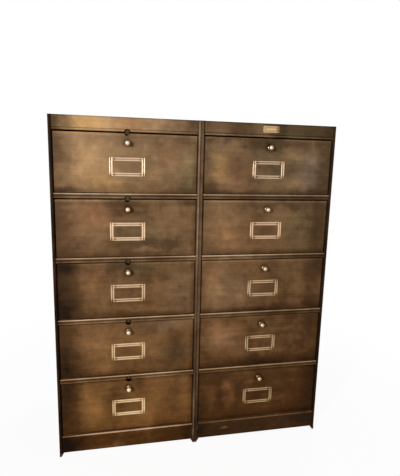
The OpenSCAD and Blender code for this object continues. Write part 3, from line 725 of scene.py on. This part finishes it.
# Amounts on the flank of the stile, its crown, the wall behind and the seam of the two walls,
# then the film near the floor and the patches
WALLS = {
    "left_side_panel": (0.0, 0.02, 0.36, 0, SKIRT, []),
    "left_partition": (0.27, 0.2, 0.3, 0.3, WORN, [
        ((0, 0.36), (0.1, 0.3), -0.12), ((0, 0.85), (0.1, 0.4), 0.07),
        ((0, 0), (0.1, 0.08), -0.16)]),
    "right_partition": (0.24, 0.15, 0.3, 0.32, WORN, [
        ((0, 0.04), (0.1, 0.2), -0.26), ((0, 0.27), (0.1, 0.12), 0.06)]),
    "right_side_panel": (0.0, 0.1, 0.36, 0, SKIRT, []),
}
for part, (flank, crown, wall, seam, foot_film, wear_and_painted_light) in WALLS.items():
    low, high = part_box(part)
    bands = [("y", low.y + 14 * MM, low.y + 3 * MM, 0, flank - wall + seam),
             ("y", low.y + 0.9 * MM, low.y, 0, crown)]
    if seam:
        # The seam at x = 0, where the middle walls meet, is a bright ridge: painted light against
        # the shade in the valley between the two stiles. The sheet behind it lies at x = 0 too,
        # so the whole wall starts lower by as much
        toward = -1 if part.startswith("left") else 1
        bands.append(("x", toward * 2 * MM, 0, 0, seam))
    finish(part, metal_of_wear_and_painted_light("browned steel " + part.replace("_", " "), (low, high),
                              film=(foot_film, STRIP), rub=wall - seam, bands=bands,
                              wear_and_painted_light=wear_and_painted_light, across=(1, 2), along=2))
print("walls:", ", ".join(WALLS))

# %% Backs and shelves
BACK_RUB, SHELF_RUB = 0.38, 0.4
BACK_EDGES, BACK_WIDTHS = (0.1, 0.1, 0.12, 0.1), (34, 34, 20, 12)

for part in ("left_back", "right_back"):
    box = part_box(part)
    # Dirt fills the seam where the two backs meet
    toward = -1 if part.startswith("left") else 1
    seam = ("x", toward * 1.8 * MM, toward * 0.3 * MM, 0, -0.4)
    finish(part, metal_of_wear_and_painted_light("browned steel " + part.replace("_", " "), box, rub=BACK_RUB,
                              bands=[*edge_bands(box, *BACK_EDGES, BACK_WIDTHS), seam]))
for part in ("left_shelves", "right_shelves"):
    low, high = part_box(part)
    # Files that slide in and out rub the front edge of a shelf
    rubbed = ("y", low.y + 40 * MM, low.y + 4 * MM, 0, 0.14)
    finish(part, metal_of_wear_and_painted_light("browned steel " + part.replace("_", " "), (low, high),
                              rub=SHELF_RUB, bands=[rubbed], across=(0, 1)))
print("backs and shelves: amounts", BACK_RUB, "and", SHELF_RUB)

# %% [markdown]
# ## Small steel
# Hinge leaves, pins, catch springs, bolts and feet were never browned with the sheets. They
# have their own greys and a little oil. One plain grey would do for parts this small, but
# they would look new beside the sheets. So the same recipe runs with another film: dull
# grey-brown where it is dirty and clean steel where it is rubbed.

# %% Hinges, springs, bolts and feet
OILED = [(0.0, "#1a120b"), (0.35, "#3d2e20"), (0.6, "#6e5c4a"), (0.85, "#a99a88"),
         (1.0, "#cfc3b4")]
HINGE = [(0.0, "#160c05"), (0.35, "#402a15"), (0.6, "#6f5136"), (0.85, "#a98a68"),
         (1.0, "#cfb496")]
SPRING = [(0.0, "#20150c"), (0.35, "#443220"), (0.6, "#6b543b"), (0.85, "#a58c6c"),
          (1.0, "#d2bc9a")]
IRON = [(0.0, "#120b08"), (0.4, "#33201a"), (0.65, "#4f3529"), (0.85, "#7a5a45"),
        (1.0, "#9a7a62")]
# The film of each part, its amount, and the number of the axis that its marks run along
SMALL = {"case_leaves": (HINGE, 0.36, 0), "hinge_pins": (OILED, 0.8, 0),
         "catch_springs": (SPRING, 0.38, 1), "column_bolts": (OILED, 0.6, 0),
         "feet": (IRON, 0.45, 2)}
oiled = {part: metal_of_wear_and_painted_light("oiled steel " + part.replace("_", " "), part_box(part), rub=rub,
                            film=(film, film), along=along, metallic=0.35, grain=0.8,
                            roughness=(0.5, 0.3))
         for part, (film, rub, along) in SMALL.items()}
for part, material in oiled.items():
    finish(part, material)
for part in nodes:
    if "flap_leaf" in part:
        finish(part, oiled["case_leaves"])
print("small steel finishes:", len(oiled))

# %% [markdown]
# ## Brass
# The knobs were turned from bar and the holders stamped from sheet, and both were polished
# when the cabinet was cleaned. The brass is pale and bright on what stands proud and brown in
# every corner that a cloth skips. A plain yellow metal would look new all over. Tarnish is the
# same sum again, so the recipe is shared: the film is tarnish now, and bands along Y follow
# the height of the stamped ribs and the length of a knob.

# %% Tarnish and polish
BRASS = [(0.0, "#2c1f12"), (0.25, "#68503a"), (0.5, "#a88e75"), (0.75, "#d0b397"),
         (1.0, "#e9ceb0")]
BRASS_FOOT = [(0.0, "#2a1a0b"), (0.25, "#694e34"), (0.5, "#a98a64"), (0.75, "#d6b688"),
              (1.0, "#efd8b2")]
# How far the brass of each row is polished, from the top row down
POLISH = {"left": (0.7, 0.76, 0.65, 0.69, 0.77), "right": (0.62, 0.68, 0.59, 0.55, 0.48)}
BRASS_METALLIC = 0.85
print("polish of the top and lowest left holder:", POLISH["left"][0], POLISH["left"][-1])

# %% Brass finishes
# Dirt round a rivet, (radius, amount), and the places of the rivets across and up, all in
# shares of the holder. Then how far dirt reaches from a corner, and how much is in the lower
# and in the upper ones
RIVET_DIRT, RIVET_U, RIVET_V = ((0.05, 0.12), -0.43), (0.137, 0.863), (0.1, 0.9)
CORNER_REACH, CORNER_DIRT = (0.15, 0.3), (-0.4, -0.2)


def holder_brass(part, polish):
    """Brass of one label holder: bright ribs, a brown valley, and dirt round the rivets and in
    the corners, more of it in the lower ones."""
    low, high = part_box(part)
    ribs = [("y", low.y + 1.0 * MM, low.y + 0.3 * MM, -0.3, 0)]
    spots = [((u, v), *RIVET_DIRT) for u in RIVET_U for v in RIVET_V]
    corners = [((u, v), CORNER_REACH, CORNER_DIRT[v]) for u in (0, 1) for v in (0, 1)]
    return metal_of_wear_and_painted_light("polished brass " + part.replace("_", " "), (low, high), rub=polish,
                        film=(BRASS_FOOT, BRASS), bands=ribs, grime_and_painted_shade=spots + corners,
                        metallic=BRASS_METALLIC, roughness=(0.5, 0.3), grain=0.7)


def knob_brass(part, polish):
    """Brass of one knob: a bright ball, and a neck that a cloth only just reaches."""
    low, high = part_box(part)
    neck = [("y", low.y + 21 * MM, low.y + 17 * MM, -0.03, 0)]
    return metal_of_wear_and_painted_light("turned brass " + part.replace("_", " "), (low, high), rub=polish,
                        film=(BRASS_FOOT, BRASS), bands=neck, metallic=BRASS_METALLIC,
                        roughness=(0.45, 0.24), grain=0.6)


print("dirt round the rivets of a holder:", RIVET_DIRT[1], "in its corners:", CORNER_DIRT)

# %% [markdown]
# ## Surfaces worked out from a formula
# Modelling by hand pushes corners about until they look right. The brass parts here were
# turned on a lathe or pressed in a die, so their shapes follow rules, and it is simpler to
# state the rule. Each one is a grid of points worked out at once with numpy. Neighbouring
# points are then joined into four-cornered faces, and points that coincide, such as those at
# a pole, are merged so that the skin is closed.

# %% Grids of points into closed skins
def grid_faces(rows, columns, round_rows=False, round_columns=False):
    """Corner numbers of the faces between neighbouring grid points. A round way joins its last
    line of points to its first."""
    row = np.arange(rows if round_rows else rows - 1)[:, None]
    column = np.arange(columns if round_columns else columns - 1)[None, :]
    next_row, next_column = (row + 1) % rows, (column + 1) % columns
    corners = (row * columns + column, row * columns + next_column,
               next_row * columns + next_column, next_row * columns + column)
    return np.stack(corners, axis=-1).reshape(-1, 4)


def joined(skins):
    """Several skins, each (points, faces), as one: the faces of each count on from the last."""
    points = [p.reshape(-1, 3) for p, _ in skins]
    starts = np.cumsum([0] + [len(p) for p in points[:-1]])
    return np.concatenate(points), np.concatenate([f + s for (_, f), s in zip(skins, starts)])


def turned_skin(radii, heights, centre, steps):
    """A profile of radii at heights in front of the centre, turned round an axis along Y. Each
    point is at (radius cos angle, -height, radius sin angle) from the centre."""
    angle = np.linspace(0, 2 * np.pi, steps, endpoint=False)[None, :]
    radii, heights = np.asarray(radii, float)[:, None], np.asarray(heights, float)[:, None]
    points = np.stack(np.broadcast_arrays(radii * np.cos(angle), -heights,
                                          radii * np.sin(angle)), -1) + centre
    return points, grid_faces(len(radii), steps, round_columns=True)


print("grid of 3 x 4 points:", len(grid_faces(3, 4)), "faces")

# %% Skins into pieces
CREASE = 35.0
SAME_PLACE = 0.002 * MM


def piece(name, skin, body, material):
    """A mesh of one skin in millimetres, smooth except along edges sharper than CREASE degrees,
    that rides on a body of the frame and takes the given material."""
    points, faces = skin
    mesh = bpy.data.meshes.new(name)
    mesh.from_pydata((points.reshape(-1, 3) * MM).tolist(), [], faces.tolist())
    shell = bmesh.new()
    shell.from_mesh(mesh)
    bmesh.ops.remove_doubles(shell, verts=shell.verts, dist=SAME_PLACE)
    bmesh.ops.recalc_face_normals(shell, faces=shell.faces)
    shell.to_mesh(mesh)
    shell.free()
    mesh.shade_smooth()
    mesh.set_sharp_from_angle(angle=math.radians(CREASE))
    mesh.materials.append(material)
    made = bpy.data.objects.new(name, mesh)
    bpy.context.scene.collection.objects.link(made)
    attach(made, body)
    return made


def middle_of(part):
    """The middle of a part of the frame in x and z, and the y of its back, in millimetres."""
    low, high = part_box(part)
    return (low.x + high.x) / 2 / MM, high.y / MM, (low.z + high.z) / 2 / MM


print("middle of the plate in mm:", [round(float(v), 1) for v in middle_of("name_plate")])

# %% [markdown]
# ## Label holders
# Each holder is a frame stamped from thin brass sheet: two half-round ribs run along its
# border, the upright ones over its whole height and the level ones between them, and four
# small rivets pin it to the flap. A bevelled rectangle would lose the ribs, which catch two
# thin lines of light. Here the border is a loop of stations round the frame, and at each
# station a row of points crosses it from the outer to the inner edge. The press's die is a
# function that gives the height of the sheet at any place.

# %% The die of a label holder
# In millimetres: width of the border, heights of the flat web and of the crown of a rib, and
# the flat land outside a rib. The ribs fill the outer and the inner two fifths of the border
BORDER, WEB, CROWN, LAND = 10.6, 0.7, 1.7, 0.3
RIB_SHARE = 0.4
# The upright ribs round off over that length, and the level ones start that far in, as a
# share of the border
RIB_END, RIB_START = 0.8, 0.8


def rib_height(inward):
    """Height of the pressed sheet that far inside an edge: two half circles, squashed to the
    height of the crown, that stand on the flat web."""
    ribs = [(LAND, RIB_SHARE * BORDER), ((1 - RIB_SHARE) * BORDER, BORDER - LAND)]
    across = [(inward - (a + b) / 2) / ((b - a) / 2) for a, b in ribs]
    arcs = [np.sqrt(np.clip(1 - c ** 2, 0, 1)) for c in across]
    return WEB + (CROWN - WEB) * np.maximum(*arcs)


def stamped_height(x, z, width, height):
    """Height of the holder at x, z from its middle: the higher of the upright and the level
    ribs. The upright ones end in a quarter circle, and the level ones start on the inner
    upright rib."""
    from_side = width / 2 - np.abs(x)
    from_end = height / 2 - np.abs(z)
    ends = np.clip(from_end / RIB_END, 0, 1)
    upright = WEB + (rib_height(from_side) - WEB) * np.sqrt(1 - (1 - ends) ** 2)
    level = np.where(from_side > RIB_START * BORDER, rib_height(from_end), WEB)
    level = np.where(from_end < BORDER, level, WEB)
    upright = np.where(from_side < BORDER, upright, WEB)
    return np.maximum(upright, level)


print("height of a rib's crown in mm:", round(float(rib_height(RIB_SHARE * BORDER / 2)), 2))

# %% The frame of a label holder
# Ribs meet within that many widths of the border from a corner, so points lie closer there
NEAR_CORNER = 1.35
CORNER_POINTS, MIDDLE_POINTS, POINTS_ACROSS = 30, 14, 33


def side_shares(length):
    """Places along one side, from -0.5 to just short of 0.5, where the next side starts."""
    near = NEAR_CORNER * BORDER
    ends = np.linspace(0, near, CORNER_POINTS)
    middle = np.linspace(near, length - near, MIDDLE_POINTS)[1:-1]
    return np.concatenate([ends, middle, length - ends[::-1]])[:-1] / length - 0.5


def border_stations(width, height):
    """Points round the outer edge: along the top, down the right side, and both turned by
    half a turn for the foot and the left side."""
    across, up = side_shares(width), side_shares(height)
    top = np.stack([across, np.full_like(across, 0.5)], -1)
    right = np.stack([np.full_like(up, 0.5), -up], -1)
    return np.concatenate([top, right, -top, -right]) * (width, height)


def holder_skin(centre, width, height):
    """A closed loop of rows: each row goes up the outer edge, over the ribs and down the inner
    edge, and the flat back joins its ends."""
    outer = border_stations(width, height)
    inner = outer * ((width - 2 * BORDER) / width, (height - 2 * BORDER) / height)
    share = np.concatenate([[0], np.linspace(0, 1, POINTS_ACROSS), [1]])[None, :, None]
    plan = outer[:, None] * (1 - share) + inner[:, None] * share
    rise = stamped_height(plan[..., 0], plan[..., 1], width, height)
    rise[:, [0, -1]] = 0
    points = np.stack([plan[..., 0], -rise, plan[..., 1]], -1) + centre
    return points, grid_faces(*rise.shape, round_rows=True, round_columns=True)


print("points round a holder:", len(border_stations(100, 50)), "and across:", POINTS_ACROSS)

# %% Rivets, and the whole label holder
# In millimetres: how far the rivets are from the sides of the holder, the radius and rise of a
# head, how much wider its tail is and how far that rises, and the steel sheet of a flap. The
# foot of a head is sunk into the web
RIVET_INSET, RIVET_R, HEAD_RISE, HEAD_FOOT = 14.0, 2.1, 0.75, 0.2
TAIL_WIDER, TAIL_RISE = 0.5, 0.8
SHEET = 0.9
RIVET_STEPS = 20


def rivet_skins(centre):
    """A low dome on the holder, and the flatter tail that was hammered over behind the flap.
    Each height follows a quarter circle from the rim to the crown."""
    lean = np.linspace(0, np.pi / 2, 7)
    head = (np.concatenate([[0, RIVET_R], RIVET_R * np.cos(lean)]),
            np.concatenate([[HEAD_FOOT, HEAD_FOOT], WEB + HEAD_RISE * np.sin(lean)]))
    tail = (np.concatenate([[0], (RIVET_R + TAIL_WIDER) * np.cos(lean)]),
            np.concatenate([[-SHEET], -SHEET - TAIL_RISE * np.sin(lean)]))
    return [turned_skin(*profile, centre, RIVET_STEPS) for profile in (head, tail)]


def label_holder(part, body, material):
    """The stamped frame in the box of the part, with four rivets on its level borders."""
    low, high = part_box(part)
    width, height = (high.x - low.x) / MM, (high.z - low.z) / MM
    centre = np.array(middle_of(part))
    rivets = [skin for i in (-1, 1) for k in (-1, 1)
              for skin in rivet_skins(centre + (i * (width / 2 - RIVET_INSET), 0,
                                                k * (height - BORDER) / 2))]
    made = piece(part.replace("label_holder", "stamped_holder"),
                 joined([holder_skin(centre, width, height), *rivets]), body, material)
    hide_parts(part)


print("faces of one rivet:", sum(len(faces) for _, faces in rivet_skins((0, 0, 0))))

# %% [markdown]
# ## Knobs
# A ball knob is turned from brass bar: a ball, a slim neck with two fine grooves, and a
# collar that sits on the flap. A nut holds its stud behind the sheet. A sphere and a cone
# would meet in a hard ring, so one profile is written from tip to collar and turned round the
# axis. The nut isn't round, but it is a turned shape too: its radius just changes with the
# angle, as on a milled hexagon.

# %% The profile of a knob
# Radii of the ball, the neck and the collar, and how far the middle of the ball and the top of
# the collar are ahead of the flap, all in millimetres
BALL_R, NECK_R, COLLAR_R = 7.5, 4.4, 5.5
BALL_AHEAD, COLLAR_AHEAD = 13.5, 1.6
# How much wider the collar is than the foot of the neck, and the two grooves: how far ahead
# they are, their depth, and half their width
SHOULDER = 0.6
GROOVES_AHEAD, GROOVE_DEPTH, GROOVE_HALF = (2.3, 3.5), 0.22, 0.28
BALL_POINTS, NECK_POINTS, KNOB_STEPS = 30, 26, 56


def ball_profile():
    """Radii and heights from the tip to the collar: a circle down to the neck, then a parabola
    that widens to the collar, less a bell curve for each groove, then a rounded collar."""
    lean = np.linspace(0, np.pi - math.asin(NECK_R / BALL_R), BALL_POINTS)
    ball = np.stack([BALL_R * np.sin(lean), BALL_AHEAD + BALL_R * np.cos(lean)])
    t = np.linspace(1, 0, NECK_POINTS)[1:]
    height = COLLAR_AHEAD + (ball[1, -1] - COLLAR_AHEAD) * t
    groove = GROOVE_DEPTH * sum(np.exp(-((height - h) / GROOVE_HALF) ** 2)
                                for h in GROOVES_AHEAD)
    neck = np.stack([NECK_R + (COLLAR_R - SHOULDER - NECK_R) * (1 - t) ** 2 - groove, height])
    collar = np.array([(COLLAR_R - 0.35, 1.45), (COLLAR_R - 0.05, 1.2), (COLLAR_R, 0.9),
                       (COLLAR_R, 0), (0, 0)]).T
    return np.concatenate([ball, neck, collar], axis=1)


print("tip of a knob ahead of its flap in mm:", round(float(ball_profile()[1, 0]), 2))

# %% Nut, stud and the whole knob
STUD_R, NUT_R, NUT_L = 2.0, 4.0, 3.2
# The stud sticks out of the nut by that much, and the edge of its end is cut off by that much
STUD_OUT, STUD_CHAMFER = 1, 0.4
NUT_STEPS, STUD_STEPS = 48, 24


def nut_skin(centre):
    """A hexagon: its radius is the distance to the flat that the angle points at, and never
    more than a cone allows near its two faces, which gives the rounded corners of a nut."""
    angle = np.linspace(0, 2 * np.pi, NUT_STEPS, endpoint=False)[None, :]
    flat = NUT_R * math.cos(np.pi / 6)
    hexagon = flat / np.cos((angle % (np.pi / 3)) - np.pi / 6)
    along = np.array([0, 0, 0.35, 0.7, 1]) * (NUT_L / 2)
    allowed = np.array([0, flat, NUT_R - 0.08, NUT_R, NUT_R])
    cone = np.concatenate([allowed, allowed[::-1]])[:, None]
    depth = np.concatenate([along, NUT_L - along[::-1]])[:, None] + SHEET
    radius = np.minimum(hexagon, cone)
    points = np.stack(np.broadcast_arrays(radius * np.cos(angle), depth,
                                          radius * np.sin(angle)), -1) + centre
    return points, grid_faces(len(cone), NUT_STEPS, round_columns=True)


def ball_knob(part, body, material):
    """The knob in the place of the part. Its centre lies on the front face of the flap, one
    length of the stud ahead of the part's back."""
    stud_l = SHEET + NUT_L + STUD_OUT
    centre = np.array(middle_of(part)) - (0, stud_l, 0)
    stud = turned_skin([0, STUD_R, STUD_R, STUD_R - STUD_CHAMFER, 0],
                       [-SHEET, -SHEET, STUD_CHAMFER - stud_l, -stud_l, -stud_l], centre,
                       STUD_STEPS)
    knob = turned_skin(*ball_profile(), centre, KNOB_STEPS)
    made = piece(part.replace("knob", "ball_knob"), joined([knob, nut_skin(centre), stud]),
                 body, material)
    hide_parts(part)


print("stud behind the front of a flap in mm:", round(SHEET + NUT_L + STUD_OUT, 1))

# %% [markdown]
# ## Dressing the flaps
# Every flap gets the same two brass pieces, and each takes its place from the box of the part
# that it stands for. That part stays in the frame for collisions, but is hidden. The pieces
# ride on the flap's body. Twenty pieces could be placed by hand, but a loop over the rows
# keeps their names, bodies and polish in step.

# %% Dress every flap
# A knob is handled more than a holder, so it is polished further
KNOB_MORE, MOST_POLISH = 0.1, 0.95

for side in ("left", "right"):
    for row in range(1, ROWS + 1):
        body, polish = f"{side}_front_{row}", POLISH[side][row - 1]
        holder, knob = f"{side}_label_holder_{row}", f"{side}_knob_{row}"
        label_holder(holder, body, holder_brass(holder, polish))
        ball_knob(knob, body, knob_brass(knob, min(polish + KNOB_MORE, MOST_POLISH)))
print("holders and knobs:", 4 * ROWS)

# %% [markdown]
# ## Plate on the header
# The right-hand header carries a small stamped plate. It is left without words: a row of
# lozenges fills its sunk panel. A bevelled box with small pyramids set on it would leave a
# seam round each. The plate is a disc of points pulled out to a rounded rectangle instead,
# because such a disc has one closed edge, and the die is a height function again.

# %% The outline and the die of the plate
# In millimetres: thickness of the plate, width of its rim and of the slope inside it, and
# radius of its corners
PLATE_T, PLATE_RIM, RIM_SLOPE, PLATE_CORNER = 0.9, 1.2, 0.35, 2.5
# The lozenges: their pitch, half width and half height, and how much of the plate's length
# stays clear of them
LOZENGE_PITCH, LOZENGE_W, LOZENGE_H, CLEAR_ENDS = 4.6, 2.1, 4.2, 14
# Height of the sunk panel, and how far the rim and the lozenges stand over it, as shares of
# the thickness. A slope of more than 1 cuts off the tip of each pyramid
PANEL, RIM_OVER, LOZENGE_OVER, LOZENGE_SLOPE = 0.6, 0.4, 0.55, 2.5
# No length is taken as shorter than this, so that nothing is divided by zero
TINY = 1e-9


def rounded_outline(width, height, corner, steps):
    """Points of a rounded rectangle: those of an ellipse are pushed out to the rectangle, and
    any that then lie further from a corner's centre than its radius are pulled back to it."""
    angle = np.linspace(0, 2 * np.pi, steps, endpoint=False)
    ellipse = np.stack([np.cos(angle) * width, np.sin(angle) * height], -1) / 2
    reach = np.minimum((width / 2) / np.maximum(np.abs(ellipse[:, 0]), TINY),
                       (height / 2) / np.maximum(np.abs(ellipse[:, 1]), TINY))
    edge = ellipse * reach[:, None]
    past = np.maximum(np.abs(edge) - (width / 2 - corner, height / 2 - corner), 0)
    length = np.maximum(np.hypot(past[:, 0], past[:, 1]), TINY)
    pulled = np.where(length > corner, corner / length, 1)[:, None]
    return edge - np.sign(edge) * past * (1 - pulled)


def plate_height(x, z, width, height):
    """Height of the plate: a raised rim, a sunk panel, and a row of pyramids on lozenges."""
    edge = np.minimum(width / 2 - np.abs(x), height / 2 - np.abs(z))
    rim = np.clip((PLATE_RIM + RIM_SLOPE - edge) / RIM_SLOPE, 0, 1)
    row = LOZENGE_PITCH * int((width - CLEAR_ENDS) / LOZENGE_PITCH)
    near = (x + row / 2) % LOZENGE_PITCH - LOZENGE_PITCH / 2
    lozenge = np.clip(1 - np.abs(near) / LOZENGE_W - np.abs(z) / LOZENGE_H, 0, 1)
    lozenge = np.where(np.abs(x) < row / 2, lozenge, 0)
    return PLATE_T * (PANEL + np.maximum(RIM_OVER * rim, LOZENGE_OVER
                                         * np.minimum(LOZENGE_SLOPE * lozenge, 1)))


print("thickness of the plate in mm:", PLATE_T)

# %% The whole plate
# Radii and heights of a pin, and how far the two pins are from the ends of the plate
PIN_RADII, PIN_HEIGHTS = [0, 1.5, 1.4, 1.0, 0.5, 0], [0.3, 0.3, 0.95, 1.05, 1.09, 1.1]
PIN_INSET, PIN_STEPS = 4, 20
OUTLINE_POINTS, RINGS = 240, 61


def header_plate(part, body, material):
    """The plate in the box of the part: rings of points from its middle to its outline at the
    height of the die, then the outline again and the middle on the flat back, and two pins."""
    low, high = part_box(part)
    width, height = (high.x - low.x) / MM, (high.z - low.z) / MM
    centre = np.array(middle_of(part))
    outline = rounded_outline(width, height, PLATE_CORNER, OUTLINE_POINTS)
    share = np.linspace(0, 1, RINGS)[:, None, None]
    plan = outline[None] * share
    rise = plate_height(plan[..., 0], plan[..., 1], width, height)
    face = np.stack([plan[..., 0], -rise, plan[..., 1]], -1)
    back = np.stack([plan[[-1, 0], :, 0], np.zeros((2, OUTLINE_POINTS)), plan[[-1, 0], :, 1]], -1)
    points = np.concatenate([face, back]) + centre
    faces = grid_faces(len(points), OUTLINE_POINTS, round_columns=True)
    pins = [turned_skin(PIN_RADII, PIN_HEIGHTS, centre + (i * (width / 2 - PIN_INSET), 0, 0),
                        PIN_STEPS) for i in (-1, 1)]
    made = piece("stamped_plate", joined([(points, faces), *pins]), body, material)
    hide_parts(part)


PLATE_RUB, PLATE_METALLIC = 0.7, 0.8
plate_low, plate_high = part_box("name_plate")
# The sunk panel and the right-hand end keep their tarnish
sunk = ("y", plate_low.y + 0.6 * MM, plate_low.y + 0.25 * MM, -0.2, 0)
plate_brass = metal_of_wear_and_painted_light("stamped brass plate", (plate_low, plate_high), rub=PLATE_RUB,
                           film=(BRASS_FOOT, BRASS_FOOT), metallic=PLATE_METALLIC, grain=0.7,
                           wear_and_painted_light=[((1, 0.5), (0.2, 2), -0.4)], bands=[sunk],
                           roughness=(0.5, 0.32))
header_plate("name_plate", "case", plate_brass)
print("points in the face of the plate:", RINGS * OUTLINE_POINTS)

# %% [markdown]
# ## Spot welds
# The sheets are held together by electric spot welds. Two copper tips squeeze the sheets and
# leave a shallow dish with a raised rim on the outside. They could be bumps in the material,
# but a real ring catches the light from every side. There are many of them, so each profile
# is turned with few steps, and all on one wall are joined into one piece.

# %% Places of the welds on a wall
# Radii and heights of a weld's profile: the dish, its rim, the foot and the middle of the back
WELD_R, WELD_RISE = [0, 1.6, 2.3, 3.0, 0], [0.06, 0.08, 0.26, 0, 0]
# In millimetres: how far the welds are from an edge, how far apart up it, and where they end
EDGE, WELD_PITCH, FOOT_END, TOP_END = 8.0, 76.0, 35, 30
# How far the flange of a shelf is under its hinge pin, how far its first and last welds are
# from the edges of the wall, and how many it has
UNDER_PIN, SHELF_END, SHELF_WELDS = 7, 70, 5


def weld_places(low, high, wide, edges):
    """(across, up) of each weld on a wall: up its edges over the flanges behind them, and along
    the flange of each shelf. wide is the number of the axis across the wall."""
    flanges = [TOP_PIN / MM - row * ROW_PITCH / MM - UNDER_PIN for row in range(ROWS)]
    up = np.linspace(low[2] + FOOT_END, high[2] - TOP_END, round((high[2] - low[2]) / WELD_PITCH))
    across = np.linspace(low[wide] + SHELF_END, high[wide] - SHELF_END, SHELF_WELDS)
    return [(a, z) for a in edges for z in up] + [(a, z) for a in across for z in flanges]


print("rim of a weld over the sheet in mm:", max(WELD_RISE))

# %% All the welds of a wall
WELD_STEPS, WELD_RUB = 12, 0.36


def spot_welds(part, outward):
    """Welds on the outer face of an upright wall. outward is 1 or -1 along its thin axis."""
    low, high = (np.array(corner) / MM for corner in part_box(part))
    thin = 1 if "back" in part else 0
    wide = 1 - thin
    face = high[thin] if outward > 0 else low[thin]
    edges = (low[wide] + EDGE, high[wide] - EDGE) if thin == 1 else (high[wide] - EDGE,)
    skins = []
    for a, z in weld_places(low, high, wide, edges):
        points, faces = turned_skin(WELD_R, WELD_RISE, (0, 0, 0), WELD_STEPS)
        if thin == 0:
            points = points[..., [1, 0, 2]]
        points[..., thin] *= -outward
        at = np.zeros(3)
        at[[wide, 2, thin]] = a, z, face
        skins.append((points + at, faces))
    # What stands proud is rubbed, and the dish in the middle keeps its dirt
    rims = [("xyz"[thin], face * MM, (face + outward * max(WELD_RISE)) * MM, -0.2, 0.22)]
    steel = metal_of_wear_and_painted_light("rubbed weld rims " + part.replace("_", " "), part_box(part),
                         rub=WELD_RUB, bands=rims)
    return piece(part + "_welds", joined(skins), "case", steel)


for part, outward in (("left_side_panel", -1), ("right_side_panel", 1), ("left_back", 1),
                      ("right_back", 1)):
    welded = spot_welds(part, outward)
    print(welded.name, len(welded.data.polygons), "faces")

# %% [markdown]
# ## Sizes, and the end
# The finished cabinet has to be as large as the frame that it was built on, apart from the
# rims of the welds, which stand a quarter of a millimetre proud. So the boxes of both are
# printed side by side.

# %% Sizes, and the end
boxes = {"cad_box": cad_box, "visual_box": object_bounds()}
{name: [list(corner) for corner in box] for name, box in boxes.items()}
for name, box in boxes.items():
    print(name, "in metres:", [[round(v, 4) for v in corner] for corner in box])
